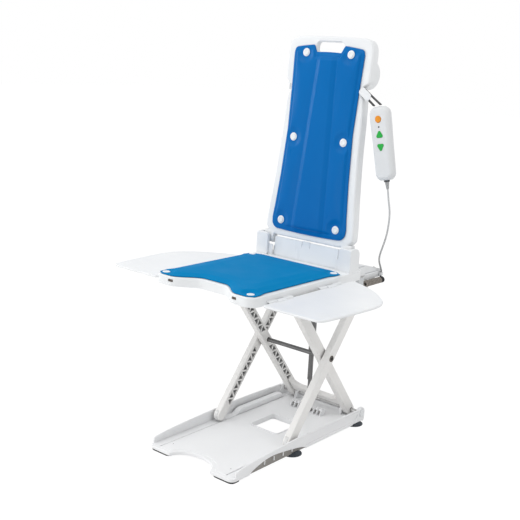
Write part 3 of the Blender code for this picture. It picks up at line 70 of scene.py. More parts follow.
class Body(Enum):
    """The lift's moving bodies."""

    BASE = "base"
    INNER_ARMS = "inner_arms"
    OUTER_ARMS = "outer_arms"
    UPPER_ROLLERS = "upper_rollers"
    LOWER_ROLLERS = "lower_rollers"
    COLUMN_FIRST = "column_first"
    COLUMN_SECOND = "column_second"
    COLUMN_THIRD = "column_third"
    SEAT = "seat"
    LEFT_FLAP = "left_flap"
    RIGHT_FLAP = "right_flap"
    BACKREST = "backrest"
    STOP_KEY = "stop_key"
    UP_KEY = "up_key"
    DOWN_KEY = "down_key"


class Slot(Enum):
    """The record's material slots."""

    WHITE = "white_plastic"
    GREY = "grey_plastic"
    COVER = "blue_cover"
    RUBBER = "rubber"
    STEEL = "steel"
    STOP = "orange_button"
    ARROW = "green_button"
    BLACK = "black_plastic"
    SHEATH = "cord_sheath"


class Axis(Enum):
    """The direction in which a plane outline is drawn out."""

    X = 0
    Y = 1
    Z = 2

    def point(self, a: float, b: float, height: float) -> Point:
        """A point from two plane coordinates and a height along this axis."""
        return ((height, a, b), (a, height, b), (a, b, height))[self.value]


class Cut(Enum):
    """How one solid works on another."""

    ADD = "UNION"
    TAKE = "DIFFERENCE"
    KEEP = "INTERSECT"


@dataclass(frozen=True)
class Places:
    """Where the lift's main points lie, all in the frame that the pieces share.

    Attributes:
        rise: The arms' angle.
        outer_arm: The middle of an outer arm across the lift, and so for the inner arm.
        peg: The strap hook's peg in the back's own frame.
        hand_hang: From the peg to the middle of the hand control.
        upper_z: The height of the arms' upper pivots.
        free_y: Where the arms' rollers stand.
        centre: The Y and Z of the arms' crossing.
        seat_top: The seat plate's upper face.
        deck_top: The upper face of the deck behind the seat.
        hinge_z: The height of the recline axis.
    """

    front: float = -0.3015
    base_rear: float = 0.2735
    seat_rear: float = 0.3015
    tray_top: float = 0.014
    pivot_y: float = 0.248
    lower_z: float = 0.0308
    arm_length: float = 0.495
    rise: float = math.radians(51.86)
    seat_front: float = -0.2830
    hinge_y: float = 0.132
    back_tilt: float = math.radians(5.48)
    outer_arm: float = 0.122
    inner_arm: float = 0.098
    seat_half: float = 0.163
    deck_half: float = 0.1425
    column_y: float = 0.186
    peg: Point = (0.1235, -0.0065, 0.4234)
    peg_radius: float = 0.0045
    hand_hang: Point = (0.0685, 0.005, -0.126)
    hand_tilt: float = math.radians(11.8)
    upper_z: float = lower_z + arm_length * math.sin(rise)
    free_y: float = pivot_y - arm_length * math.cos(rise)
    centre: Spot = ((pivot_y + free_y) / 2, (lower_z + upper_z) / 2)
    seat_top: float = upper_z + 0.0438
    deck_top: float = seat_top - 0.022
    hinge_z: float = seat_top + 0.044
    rear_pivot: Spot = (pivot_y, lower_z)
    upper_pivot: Spot = (pivot_y, upper_z)

    @property
    def back_frame(self) -> Matrix:
        """The frame in which the back is drawn: its origin on the recline axis, its Z up along the back."""
        turn = Matrix.Rotation(-self.back_tilt, 4, "X")
        return Matrix.Translation((0, self.hinge_y, self.hinge_z)) @ turn

    @property
    def strap_peg(self) -> Vector:
        """The middle of the hand control's strap hook."""
        return self.back_frame @ Vector(self.peg)

    @property
    def hand_frame(self) -> Matrix:
        """The hand control's frame: its origin in its middle, its Z up along it."""
        turn = Matrix.Rotation(-self.hand_tilt, 4, "Y")
        return Matrix.Translation(self.strap_peg + Vector(self.hand_hang)) @ turn

    def arm_frame(self, sign: int) -> Matrix:
        """The frame of a pair of arms: their crossing, turned by the rise in the given direction."""
        turn = Matrix.Rotation(sign * self.rise, 4, "X")
        return Matrix.Translation((0, *self.centre)) @ turn


AT = Places()


def ease(value: Field | float) -> Field | float:
    """A smooth step from 0 to 1."""
    t = np.clip(value, 0.0, 1.0)
    return t * t * (3 - 2 * t)


def arc(centre: Spot, radius: float, start: float, stop: float, steps: int) -> Outline:
    """Points on an arc from one angle to another, in degrees, both ends included."""
    turns = [math.radians(start + (stop - start) * k / steps) for k in range(steps + 1)]
    return [(centre[0] + radius * math.cos(t), centre[1] + radius * math.sin(t)) for t in turns]


def circle(centre: Spot, radius: float, steps: int) -> Outline:
    """A closed round outline."""
    return arc(centre, radius, 0, 360, steps)[:-1]


def oblong(one: Spot, other: Spot, radius: float, steps: int = 5) -> Outline:
    """A rectangle with rounded corners.

    Args:
        one: One of its corners.
        other: The corner across from it.
        radius: The corners' radius.
        steps: The steps in each corner.

    Returns:
        The outline, anticlockwise.
    """
    (left, right), (low, high) = (sorted(pair) for pair in zip(one, other))
    left, right, low, high = left + radius, right - radius, low + radius, high - radius
    corners = (((right, low), -90), ((right, high), 0), ((left, high), 90), ((left, low), 180))
    return [p for centre, turn in corners for p in arc(centre, radius, turn, turn + 90, steps)]


def spline(points: Sequence[Sequence[float]], steps: int) -> list[tuple[float, ...]]:
    """A smooth curve through points.

    Args:
        points: The points to pass through, of any dimension.
        steps: The steps in each span.

    Returns:
        The curve's points, both ends included.
    """
    rows = [np.array(p, float) for p in points]
    curve = []
    for k in range(len(rows) - 1):
        before, here, there = rows[max(k - 1, 0)], rows[k], rows[k + 1]
        after = rows[min(k + 2, len(rows) - 1)]
        for step in range(steps):
            t = step / steps
            bend = (2 * before - 5 * here + 4 * there - after) * t * t
            swing = (3 * here - before - 3 * there + after) * t**3
            curve.append(0.5 * (2 * here + (there - before) * t + bend + swing))
    curve.append(rows[-1])
    return [tuple(float(c) for c in p) for p in curve]


def mirrored(half: Sequence[Spot]) -> Outline:
    """A closed outline from its right half, listed from the middle of one end to that of the other."""
    return list(half) + [(-a, b) for a, b in reversed(half) if a > 1e-6]


def signed(sign: int, outline: Sequence[Spot]) -> Outline:
    """An outline of the right side, or the same one on the side with the given sign."""
    return [(sign * a, b) for a, b in outline]


def inset(outline: Sequence[Spot], distance: float) -> Outline:
    """An outline drawn in along its corners' bisectors.

    Args:
        outline: The closed outline.
        distance: How far; below zero it grows.

    Returns:
        An outline with as many points.
    """
    points = [np.array(p, float) for p in outline]
    area = sum(a[0] * b[1] - b[0] * a[1] for a, b in zip(points, points[1:] + points[:1]))
    inward = distance if area > 0 else -distance
    result = []
    for k, here in enumerate(points):
        arriving = here - points[k - 1]
        leaving = points[(k + 1) % len(points)] - here
        one = np.array((-arriving[1], arriving[0])) / np.linalg.norm(arriving)
        two = np.array((-leaving[1], leaving[0])) / np.linalg.norm(leaving)
        bisector = (one + two) / max(1 + one @ two, 0.5)
        result.append(tuple(float(c) for c in here + inward * bisector))
    return result


def rounded(outline: Outline, edge: float, steps: int) -> list[tuple[Outline, float]]:
    """The outlines of a rounded rim, from the face's own to the full one, each with its depth under the face."""
    turns = [math.pi / 2 * k / steps for k in range(steps + 1)]
    return [(inset(outline, edge * (1 - math.sin(t))), edge * (1 - math.cos(t))) for t in turns]


def sideways(path: Sequence[Spot], distance: float) -> Outline:
    """An open path moved to its left.

    Args:
        path: The path's points.
        distance: How far.

    Returns:
        The moved path.
    """
    rows = [np.array(p, float) for p in path]
    moved = []
    for k, here in enumerate(rows):
        ahead = rows[min(k + 1, len(rows) - 1)] - rows[max(k - 1, 0)]
        normal = np.array((-ahead[1], ahead[0])) / np.linalg.norm(ahead)
        moved.append(tuple(float(c) for c in here + distance * normal))
    return moved


def linked(name: str, mesh: bpy.types.Mesh) -> Thing:
    """An object with a mesh, linked into the scene.

    Args:
        name: The object's name.
        mesh: Its mesh.

    Returns:
        The object.
    """
    thing = bpy.data.objects.new(name, mesh)
    bpy.context.scene.collection.objects.link(thing)
    return thing


def mesh_object(name: str, points: Sequence[Sequence[float]], faces: Sequence[Sequence[int]]) -> Thing:
    """A mesh object with its faces turned outwards.

    Args:
        name: The object's name.
        points: Its vertices.
        faces: Its faces.

    Returns:
        The object.
    """
    mesh = bpy.data.meshes.new(name)
    mesh.from_pydata([tuple(p) for p in points], [], [tuple(f) for f in faces])
    shape = bmesh.new()
    shape.from_mesh(mesh)
    bmesh.ops.recalc_face_normals(shape, faces=shape.faces)
    shape.to_mesh(mesh)
    shape.free()
    return linked(name, mesh)


def loft(name: str, loops: Sequence[Sequence[Point]], ring: bool = False) -> Thing:
    """Joins equal loops of points in turn.

    Args:
        name: The object's name.
        loops: The loops, each with as many points.
        ring: Whether the last loop joins the first; otherwise both ends are capped.

    Returns:
        The closed solid.
    """
    count = len(loops[0])
    points = [p for loop in loops for p in loop]
    faces: list[tuple[int, ...]] = []
    for row in range(len(loops) if ring else len(loops) - 1):
        here, there = row * count, (row + 1) % len(loops) * count
        for k in range(count):
            after = (k + 1) % count
            faces.append((here + k, here + after, there + after, there + k))
    if not ring:
        faces.append(tuple(range(count)))
        faces.append(tuple(range(len(points) - count, len(points))))
    return mesh_object(name, points, faces)


def slab(name: str, outline: Outline, axis: Axis, low: float, high: float, edge: float = 0.0, steps: int = 3) -> Thing:
    """An outline drawn out along an axis, with rounded rims.

    Args:
        name: The object's name.
        outline: The closed outline.
        axis: The direction.
        low: Where it starts.
        high: Where it ends.
        edge: The rims' radius.
        steps: The steps in each rim.

    Returns:
        The closed solid.
    """
    low, high = min(low, high), max(low, high)
    rows = rounded(outline, edge, steps) if edge else [(outline, 0.0)]
    loops = [[axis.point(a, b, low + rise) for a, b in drawn] for drawn, rise in rows]
    loops += [[axis.point(a, b, high - rise) for a, b in drawn] for drawn, rise in reversed(rows)]
    return loft(name, loops)


def lathe(name: str, profile: Sequence[Spot], centre: Spot, axis: Axis, sides: int = 40, ring: bool = False) -> Thing:
    """A solid turned round an axis from pairs of radius and height, which close on themselves in a ring."""
    loops = [[axis.point(a, b, h) for a, b in circle(centre, max(r, 1e-5), sides)] for r, h in profile]
    return loft(name, loops, ring)


def tube_along(name: str, path: Sequence[Point], radius: float, sides: int) -> Thing:
    """A round tube along a path, closed at both ends.

    Args:
        name: The object's name.
        path: The points of its centre line.
        radius: Its radius.
        sides: The sides of its section.

    Returns:
        The closed tube.
    """
    rows = [Vector(p) for p in path]
    ahead = (rows[1] - rows[0]).normalized()
    across = ahead.orthogonal().normalized()
    turns = [2 * math.pi * k / sides for k in range(sides)]
    loops = []
    for k, here in enumerate(rows):
        heading = (rows[min(k + 1, len(rows) - 1)] - rows[max(k - 1, 0)]).normalized()
        across = ahead.rotation_difference(heading) @ across
        across = (across - heading * across.dot(heading)).normalized()
        ahead = heading
        other = heading.cross(across)
        loops.append([tuple(here + (across * math.cos(t) + other * math.sin(t)) * radius) for t in turns])
    return loft(name, loops)


def work(target: Thing, cut: Cut, *tools: Thing) -> Thing:
    """Adds, takes or keeps what tools reach of a target, and removes the tools.

    Args:
        target: The solid that is worked on.
        cut: What is done.
        *tools: The solids it is done with.

    Returns:
        The target.
    """
    for tool in tools:
        step = target.modifiers.new(tool.name, "BOOLEAN")
        step.operation, step.solver, step.object = cut.value, "EXACT", tool
    settled(target)
    for tool in tools:
        bpy.data.objects.remove(tool, do_unlink=True)
    return target


def settled(thing: Thing) -> Thing:
    """An object whose modifiers have become part of its plain mesh.

    Args:
        thing: The object.

    Returns:
        The same object without modifiers.
    """
    bpy.context.view_layer.update()
    depsgraph = bpy.context.evaluated_depsgraph_get()
    mesh = bpy.data.meshes.new_from_object(thing.evaluated_get(depsgraph))
    thing.modifiers.clear()
    old, thing.data = thing.data, mesh
    bpy.data.meshes.remove(old)
    return thing


def gather(name: str, parts: Sequence[Thing], place: Matrix | None = None) -> Thing:
    """One object from several, moved to its place.

    Args:
        name: The new object's name.
        parts: The objects, which are removed.
        place: Where their own frame lies in the shared frame.

    Returns:
        The object, at the origin with its place in its mesh.
    """
    shape = bmesh.new()
    for part in parts:
        shape.from_mesh(part.data)
    mesh = bpy.data.meshes.new(name)
    shape.to_mesh(mesh)
    shape.free()
    for part in parts:
        bpy.data.objects.remove(part, do_unlink=True)
    if place is not None:
        mesh.transform(place)
    return linked(name, mesh)


def polish(thing: Thing, bevel: float = 0.0, angle: float = 38.0) -> Thing:
    """Breaks the sharp edges and sets the shading.

    Args:
        thing: The solid.
        bevel: The width of the broken edges.
        angle: Edges sharper than this, in degrees, are broken or kept sharp.

    Returns:
        The solid as a plain mesh.
    """
    thing.data.shade_smooth()
    if bevel:
        edge = thing.modifiers.new("edge", "BEVEL")
        edge.width, edge.segments = bevel, 2
        edge.limit_method, edge.angle_limit = "ANGLE", math.radians(angle)
    else:
        thing.data.set_sharp_from_angle(angle=math.radians(angle))
    normals = thing.modifiers.new("normals", "WEIGHTED_NORMAL")
    normals.keep_sharp, normals.weight = True, 100
    return settled(thing)


def refined(node: str, bevel: float, name: str) -> Thing:
    """A merged copy of a node of the frame, with its edges broken.

    Args:
        node: The node's name.
        bevel: The width of the broken edges.
        name: The copy's name.

    Returns:
        The copy as a plain mesh.
    """
    shape = bmesh.new()
    shape.from_mesh(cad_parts[node].data)
    bmesh.ops.remove_doubles(shape, verts=shape.verts, dist=1e-6)
    limit = math.radians(1.0)
    bmesh.ops.dissolve_limit(shape, angle_limit=limit, verts=shape.verts, edges=shape.edges)
    mesh = bpy.data.meshes.new(name)
    shape.to_mesh(mesh)
    shape.free()
    return polish(linked(name, mesh), bevel)


def dress(thing: Thing, body: Body, finish: "Finish", *nodes: str) -> Thing:
    """Gives a finished piece its material, its body and the nodes that it stands for.

    Args:
        thing: The piece.
        body: The body that carries it.
        finish: Its finish.
        *nodes: The nodes that it replaces.

    Returns:
        The piece.
    """
    thing.data.materials.clear()
    thing.data.materials.append(finish.material())
    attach(thing, body.value)
    if nodes:
        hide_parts(*nodes)
    LOG.info("%s rides on %s, %d faces", thing.name, body.value, len(thing.data.polygons))
    return thing


def piece(
    name: str, parts: Sequence[Thing], body: Body, finish: "Finish", *nodes: str,
    place: Matrix | None = None, bevel: float = 0.0, angle: float = 38.0,
) -> Thing:
    """A piece that is gathered from its parts, polished and dressed, as those functions say."""
    return dress(polish(gather(name, parts, place), bevel, angle), body, finish, *nodes)


def repaint(node: str, finish: "Finish") -> None:
    """Gives a node of the frame that stays a better material.

    Args:
        node: The node's name.
        finish: Its finish.
    """
    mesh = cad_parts[node].data
    mesh.materials.clear()
    mesh.materials.append(finish.material())
    LOG.info("%s keeps its shape, in %s", node, finish.name)


@dataclass
class Graph:
    """A node tree under construction."""

    tree: bpy.types.NodeTree

    def add(self, kind: str, inputs: dict | None = None, **settings: object) -> bpy.types.Node:
        """Adds a node.

        Args:
            kind: The node's type.
            inputs: For each input, by name or place, the socket that feeds it or its own value.
            **settings: The node's own properties.

        Returns:
            The node.
        """
        node = self.tree.nodes.new(kind)
        for key, value in settings.items():
            setattr(node, key, value)
        self.feed(node, inputs or {})
        return node

    def feed(self, node: bpy.types.Node, inputs: dict) -> None:
        """Sets a node's inputs.

        Args:
            node: The node.
            inputs: For each input, by name or place, the socket that feeds it or its own value.
        """
        for key, value in inputs.items():
            if isinstance(value, Socket):
                self.tree.links.new(value, node.inputs[key])
            else:
                node.inputs[key].default_value = value

    def math(self, operation: str, *values: Socket | float) -> Socket:
        """The result of a sum on sockets or numbers."""
        return self.add("ShaderNodeMath", dict(enumerate(values)), operation=operation).outputs[0]

    def dot(self, one: Socket, two: Socket | Point) -> Socket:
        """The dot product of two directions."""
        return self.add("ShaderNodeVectorMath", {0: one, 1: two}, operation="DOT_PRODUCT").outputs["Value"]

    def spread(self, value: Socket, source: Spot, low: float | Socket, high: float | Socket) -> Socket:
        """A value whose own lowest and highest become two others."""
        inputs = {"Value": value, "From Min": source[0], "From Max": source[1], "To Min": low, "To Max": high}
        return self.add("ShaderNodeMapRange", inputs).outputs["Result"]

    def noise(self, vector: Socket, scale: float | Socket, detail: float) -> Socket:
        """Fine random variation at a scale."""
        return self.add("ShaderNodeTexNoise", {"Vector": vector, "Scale": scale, "Detail": detail}).outputs[0]

    def stretched(self, vector: Socket, scale: Socket | Point) -> Socket:
        """Coordinates stretched along their axes."""
        return self.add("ShaderNodeMapping", {"Vector": vector, "Scale": scale}).outputs[0]

    def blend(self, share: Socket, one: Socket, two: Socket | Colour) -> Socket:
        """A mix of two colours by a varying share."""
        two = (*two, 1.0) if isinstance(two, tuple) else two
        return self.add("ShaderNodeMix", {0: share, 6: one, 7: two}, data_type="RGBA").outputs[2]

    def spot(self) -> Socket:
        """Where a point lies on its piece."""
        return self.add("ShaderNodeTexCoord").outputs["Object"]


@dataclass
class Effect(Graph):
    """A shader group under construction: its method for each effect builds that group's inside.

    Attributes:
        asked: The group's inputs.
    """

    asked: bpy.types.NodeOutputs

    def surface_grain(self) -> dict[str, Socket]:
        """The fine grain of a moulded surface with its slow waves.

        Returns:
            The height.
        """
        spot = self.spot()
        small, large = self.noise(spot, self.asked["Fine"], 3.0), self.noise(spot, self.asked["Coarse"], 2.0)
        return {"Height": self.math("MULTIPLY_ADD", large, 0.35, small)}

    def tone_shift(self) -> dict[str, Socket]:
        """A colour that drifts a little towards another.

        Returns:
            The varying colour.
        """
        drift = self.noise(self.spot(), self.asked["Scale"], 4.0)
        share = self.spread(drift, (0.35, 0.7), 0.0, self.asked["Reach"])
        return {"Color": self.blend(share, self.asked["Main"], self.asked["Other"])}

    def handled_gloss(self) -> dict[str, Socket]:
        """A roughness that hands and cleaning have worn unevenly."""
        worn = self.noise(self.stretched(self.spot(), (1.0, 1.0, 0.35)), self.asked["Scale"], 5.0)
        return {"Roughness": self.spread(worn, (0.3, 0.7), self.asked["Low"], self.asked["High"])}

    def painted_crevice_shade(self) -> dict[str, Socket]:
        """A mask from ambient occlusion, by which shade is painted into corners and recesses."""
        near = self.add("ShaderNodeAmbientOcclusion", {"Distance": self.asked["Distance"]}, samples=8)
        return {"Mask": self.spread(near.outputs["AO"], (0.2, 0.85), self.asked["Strength"], 0.0)}

    def edge_wear(self) -> dict[str, Socket]:
        """A mask of the outer edges that are rubbed.

        Returns:
            The mask.
        """
        soft = self.add("ShaderNodeBevel", {"Radius": self.asked["Radius"]}, samples=4).outputs[0]
        turn = self.dot(soft, self.add("ShaderNodeNewGeometry").outputs["Normal"])
        edge = self.spread(turn, (0.995, 0.88), 0.0, self.asked["Strength"])
        return {"Mask": self.math("MULTIPLY", edge, self.noise(self.spot(), 45.0, 4.0))}

    def cover_coat(self) -> dict[str, Socket]:
        """The pebbled coat of a wipe-clean cover with its soft folds.

        Returns:
            The height.
        """
        spot = self.spot()
        inputs = {"Vector": spot, "Scale": self.asked["Scale"]}
        pebble = self.add("ShaderNodeTexVoronoi", inputs, feature="SMOOTH_F1").outputs["Distance"]
        fold = self.noise(self.stretched(spot, (1.0, 0.6, 0.6)), self.asked["Folds"], 3.0)
        return {"Height": self.math("MULTIPLY_ADD", fold, 9.0, self.math("SUBTRACT", 1.0, pebble))}

    def drawn_lines(self) -> dict[str, Socket]:
        """The fine lines that turning or drawing leaves on metal."""
        return {"Height": self.noise(self.stretched(self.spot(), self.asked["Stretch"]), 1.0, 4.0)}


class Surface(Graph):
    """A material's own nodes, which lead to its shader."""

    def effect(self, kind: Callable[[Effect], dict[str, Socket]], **values: float | tuple) -> Socket:
        """Places a shared effect with its own values; its group is built on the first use.

        Args:
            kind: The effect.
            **values: The group's inputs.

        Returns:
            What the effect puts out.
        """
        group = bpy.data.node_groups.get(kind.__name__)
        if not group:
            group = bpy.data.node_groups.new(kind.__name__, "ShaderNodeTree")
            for label, value in values.items():
                size = len(value) if isinstance(value, tuple) else 1
                socket = {1: "NodeSocketFloat", 3: "NodeSocketVector", 4: "NodeSocketColor"}[size]
                group.interface.new_socket(label, in_out="INPUT", socket_type=socket)
            inside = Effect(group, group.nodes.new("NodeGroupInput").outputs)
            results = kind(inside)
            for label in results:
                socket = "NodeSocketColor" if label == "Color" else "NodeSocketFloat"
                group.interface.new_socket(label, in_out="OUTPUT", socket_type=socket)
            inside.add("NodeGroupOutput", results)
        return self.add("ShaderNodeGroup", values, node_tree=group).outputs[0]

    def tone(self, finish: "Finish", scale: float, reach: float) -> Socket:
        """The finish's colour, which drifts to its other one at a scale and as far as its reach."""
        main, other = (*finish.colour, 1.0), (*finish.other, 1.0)
        return self.effect(Effect.tone_shift, Main=main, Other=other, Scale=scale, Reach=reach)

    def end(self, colour: Socket, gloss: Point, height: Socket, depth: float, plain: dict[str, float]) -> None:
        """Leads the surface to the shader.

        Args:
            colour: Its colour.
            gloss: Its lowest and highest roughness, and how often it changes.
            height: Its height.
            depth: What a height of 1 measures, in metres.
            plain: The shader's values that are the same all over.
        """
        low, high, scale = gloss
        worn = self.effect(Effect.handled_gloss, Low=low, High=high, Scale=scale)
        bump = self.add("ShaderNodeBump", {"Height": height, "Distance": depth, "Strength": 1.0}).outputs[0]
        shader = self.tree.nodes["Principled BSDF"]
        self.feed(shader, {"Base Color": colour, "Roughness": worn, "Normal": bump, **plain})


@dataclass(frozen=True)
class Finish:
    """A material with its slot and main colours.

    Attributes:
        name: The material's name.
        slot: The record's slot for it; not used.
        colour: Its colour, linear.
        other: The colour that it drifts to.
    """

    name: str
    slot: Slot
    colour: Colour
    other: Colour

    def material(self) -> Material:
        """The material, made on its first use.

        Returns:
            The material.
        """
        material = bpy.data.materials.get(self.name)
        if not material:
            material = bpy.data.materials.new(self.name)
            material.use_nodes = True
            self.paint(Surface(material.node_tree))
        return material

    def paint(self, surface: Surface) -> None:
        """Builds the material's nodes."""
        raise NotImplementedError

    @staticmethod
    def toned(colour: Colour, share: float, lift: float = 0.0) -> Colour:
        """A darker or brighter tone of a colour."""
        return tuple(min(1.0, c * share + lift) for c in colour)


@dataclass(frozen=True)
class MouldedPlastic(Finish):
    """Injection-moulded plastic with a fine grain, rubbed edges and shade painted into its corners."""

    low: float = 0.32
    high: float = 0.5
    depth: float = 0.00004
    # How strongly shade is painted into the corners.
    crevice_shade: float = 0.3
    coat: float = 0.0
    drift: float = 0.55

    def paint(self, surface: Surface) -> None:
        """Builds the material's nodes.

        Args:
            surface: The material's nodes.
        """
        # Painted shade: the occlusion mask darkens the colour in corners and recesses.
        painted_shade = surface.effect(Effect.painted_crevice_shade, Distance=0.012, Strength=self.crevice_shade)
        shaded_colour = surface.blend(painted_shade, surface.tone(self, 9.0, self.drift), self.toned(self.other, 0.42))
        rubbed = surface.effect(Effect.edge_wear, Radius=0.0016, Strength=0.8)
        colour = surface.blend(rubbed, shaded_colour, self.toned(self.colour, 1.06, 0.015))
        height = surface.effect(Effect.surface_grain, Fine=1500.0, Coarse=60.0)
        plain = {"Specular IOR Level": 0.45, "Coat Weight": self.coat, "Coat Roughness": 0.18}
        surface.end(colour, (self.low, self.high, 24.0), height, self.depth, plain)


@dataclass(frozen=True)
class CoatedCover(Finish):
    """The wipe-clean coated fabric of the covers: pebbled and slightly creased.

    Attributes:
        low: Its lowest roughness.
        high: Its highest.
        shine: How strongly it reflects.
    """

    low: float
    high: float
    shine: float

    def paint(self, surface: Surface) -> None:
        """Builds the material's nodes.

        Args:
            surface: The material's nodes.
        """
        # Painted shade: the occlusion mask darkens the blue in creases and dimples.
        shade = surface.effect(Effect.painted_crevice_shade, Distance=0.010, Strength=0.55)
        colour = surface.blend(shade, surface.tone(self, 5.0, 0.75), self.toned(self.colour, 0.45))
        height = surface.effect(Effect.cover_coat, Scale=950.0, Folds=16.0)
        surface.end(colour, (self.low, self.high, 14.0), height, 0.00005, {"Specular IOR Level": self.shine})


@dataclass(frozen=True)
class SoftRubber(Finish):
    """Matt moulded rubber with a dusty bloom."""

    def paint(self, surface: Surface) -> None:
        """Builds the material's nodes.

        Args:
            surface: The material's nodes.
        """
        dust = surface.effect(Effect.edge_wear, Radius=0.0014, Strength=0.7)
        colour = surface.blend(dust, surface.tone(self, 26.0, 0.6), self.toned(self.other, 1.6, 0.03))
        height = surface.effect(Effect.surface_grain, Fine=900.0, Coarse=90.0)
        surface.end(colour, (0.55, 0.78, 30.0), height, 0.00008, {"Specular IOR Level": 0.35})


@dataclass(frozen=True)
class DrawnMetal(Finish):
    """Turned or drawn metal with fine lines along or around it."""

    stretch: Point = (1800.0, 14.0, 14.0)
    low: float = 0.24
    high: float = 0.42

    def paint(self, surface: Surface) -> None:
        """Builds the material's nodes.

        Args:
            surface: The material's nodes.
        """
        # Painted shade: the occlusion mask darkens the metal in its corners.
        metal_shade = surface.effect(Effect.painted_crevice_shade, Distance=0.008, Strength=0.6)
        colour = surface.blend(metal_shade, surface.tone(self, 40.0, 0.7), self.toned(self.other, 0.35))
        height = surface.effect(Effect.drawn_lines, Stretch=self.stretch)
        surface.end(colour, (self.low, self.high, 60.0), height, 0.00003, {"Metallic": 1.0})


@dataclass(frozen=True)
class CordSheath(Finish):
    """The soft extruded sheath of a lead, darker along part of its path."""

    dark: Colour = (0.02, 0.02, 0.022)
    curl: Colour = (0.30, 0.27, 0.24)
    low_grey: Colour = (0.19, 0.19, 0.195)

    def paint(self, surface: Surface) -> None:
        """Builds the material's nodes, which read how far along the cord a point lies.

        Args:
            surface: The material's nodes.
        """
        colour = surface.tone(self, 60.0, 0.6)
        along = surface.add("ShaderNodeAttribute", attribute_name="along").outputs["Fac"]
        for span, shade in (((0.35, 0.85), self.low_grey), ((0.985, 1.0), self.dark), ((1.14, 1.18), self.curl)):
            colour = surface.blend(surface.spread(along, span, 0.0, 1.0), colour, shade)
        # Painted shade: the occlusion mask darkens the cord where its turns lie close together.
        between = surface.effect(Effect.painted_crevice_shade, Distance=0.006, Strength=0.95)
        height = surface.effect(Effect.surface_grain, Fine=1300.0, Coarse=200.0)
        colour = surface.blend(between, colour, self.dark)
        surface.end(colour, (0.42, 0.6, 50.0), height, 0.00004, {"Specular IOR Level": 0.4})


@dataclass(frozen=True)
class Webbing(Finish):
    """Narrow woven tape."""

    def paint(self, surface: Surface) -> None:
        """Builds the material's nodes.

        Args:
            surface: The material's nodes.
        """
        inputs = {"Vector": surface.spot(), "Scale": 420.0, "Distortion": 0.4}
        threads = surface.add("ShaderNodeTexWave", inputs, bands_direction="DIAGONAL").outputs["Fac"]
        surface.end(surface.tone(self, 120.0, 0.8), (0.6, 0.8, 90.0), threads, 0.00018, {"Sheen Weight": 0.25})


WHITE = MouldedPlastic("white_moulding", Slot.WHITE, (0.86, 0.875, 0.885), (0.79, 0.81, 0.83))
# Painted light: lighter than the other white plastic, to make up for the seat's shade on the tray.
TRAY_LIT_WHITE = MouldedPlastic(
    "tray_lit_moulding", Slot.WHITE, (0.905, 0.91, 0.92), (0.87, 0.875, 0.885), 0.38, 0.55, 0.00006, 0.3
)
ARM_WHITE = MouldedPlastic(
    "arm_moulding", Slot.WHITE, (0.865, 0.855, 0.84), (0.80, 0.788, 0.768), 0.34, 0.5, 0.00004, 0.5
)
# Painted shade: the dark grey floors at the bottoms of the arms' pockets.
POCKET_SHADE_GREY = MouldedPlastic("pocket_shade_floor", Slot.GREY, (0.16, 0.165, 0.17), (0.11, 0.11, 0.115), 0.5, 0.7)
PANEL_WHITE = MouldedPlastic("panel_moulding", Slot.WHITE, (0.855, 0.88, 0.9), (0.81, 0.84, 0.865), 0.25, 0.4)
ROLLER_GREY = MouldedPlastic("roller_moulding", Slot.GREY, (0.78, 0.78, 0.775), (0.7, 0.7, 0.695), 0.36, 0.52)
HOUSING_GREY = MouldedPlastic("housing_moulding", Slot.GREY, (0.62, 0.64, 0.655), (0.55, 0.57, 0.585), 0.38, 0.55)
DARK_GREY = MouldedPlastic("dark_moulding", Slot.BLACK, (0.05, 0.052, 0.055), (0.032, 0.033, 0.036), 0.4, 0.6)
# Painted shade: the warm grey of the blocks between the brackets' ribs.
CORE_SHADE_GREY = MouldedPlastic(
    "core_shade_moulding", Slot.GREY, (0.62, 0.595, 0.56), (0.55, 0.525, 0.49), 0.45, 0.65, 0.00004, 0.1
)
# Painted shade: the dark plates on the floors of the rails' side recesses.
RECESS_SHADE_GREY = MouldedPlastic("recess_shade_moulding", Slot.GREY, (0.30, 0.285, 0.265), (0.24, 0.228, 0.212), 0.45, 0.65)
# Also the colour of the plates of painted shade in the seat skirt's windows.
BROWN_GREY = MouldedPlastic("pivot_moulding", Slot.GREY, (0.105, 0.082, 0.068), (0.07, 0.055, 0.047), 0.45, 0.65)
RELIEF_GREY = MouldedPlastic("relief_moulding", Slot.GREY, (0.46, 0.465, 0.47), (0.38, 0.385, 0.39), 0.45, 0.62)
HAND_WHITE = MouldedPlastic("hand_moulding", Slot.WHITE, (0.75, 0.765, 0.775), (0.69, 0.705, 0.72), 0.3, 0.46)
STOP_ORANGE = MouldedPlastic(
    "stop_key", Slot.STOP, (0.84, 0.30, 0.004), (0.76, 0.245, 0.003), 0.4, 0.55, 0.00003, 0.2
)
ARROW_GREEN = MouldedPlastic(
    "arrow_key", Slot.ARROW, (0.001, 0.43, 0.045), (0.001, 0.36, 0.036), 0.4, 0.55, 0.00003, 0.2
)
LENS = MouldedPlastic(
    "lamp_lens", Slot.BLACK, (0.02, 0.024, 0.028), (0.012, 0.014, 0.017), 0.08, 0.16, 0.00001, 0.0, 0.8
)
SEAT_BLUE = CoatedCover("seat_coat", Slot.COVER, (0.002, 0.212, 0.485), (0.004, 0.23, 0.51), 0.58, 0.72, 0.03)
BACK_BLUE = CoatedCover("back_coat", Slot.COVER, (0.0012, 0.147, 0.455), (0.001, 0.135, 0.425), 0.27, 0.36, 0.08)
CUP_RUBBER = SoftRubber("cup_rubber", Slot.RUBBER, (0.035, 0.043, 0.055), (0.055, 0.063, 0.074))
PAD_RUBBER = SoftRubber("pad_rubber", Slot.RUBBER, (0.012, 0.012, 0.013), (0.022, 0.022, 0.023))
STEEL = DrawnMetal("turned_steel", Slot.STEEL, (0.60, 0.60, 0.60), (0.48, 0.475, 0.465))
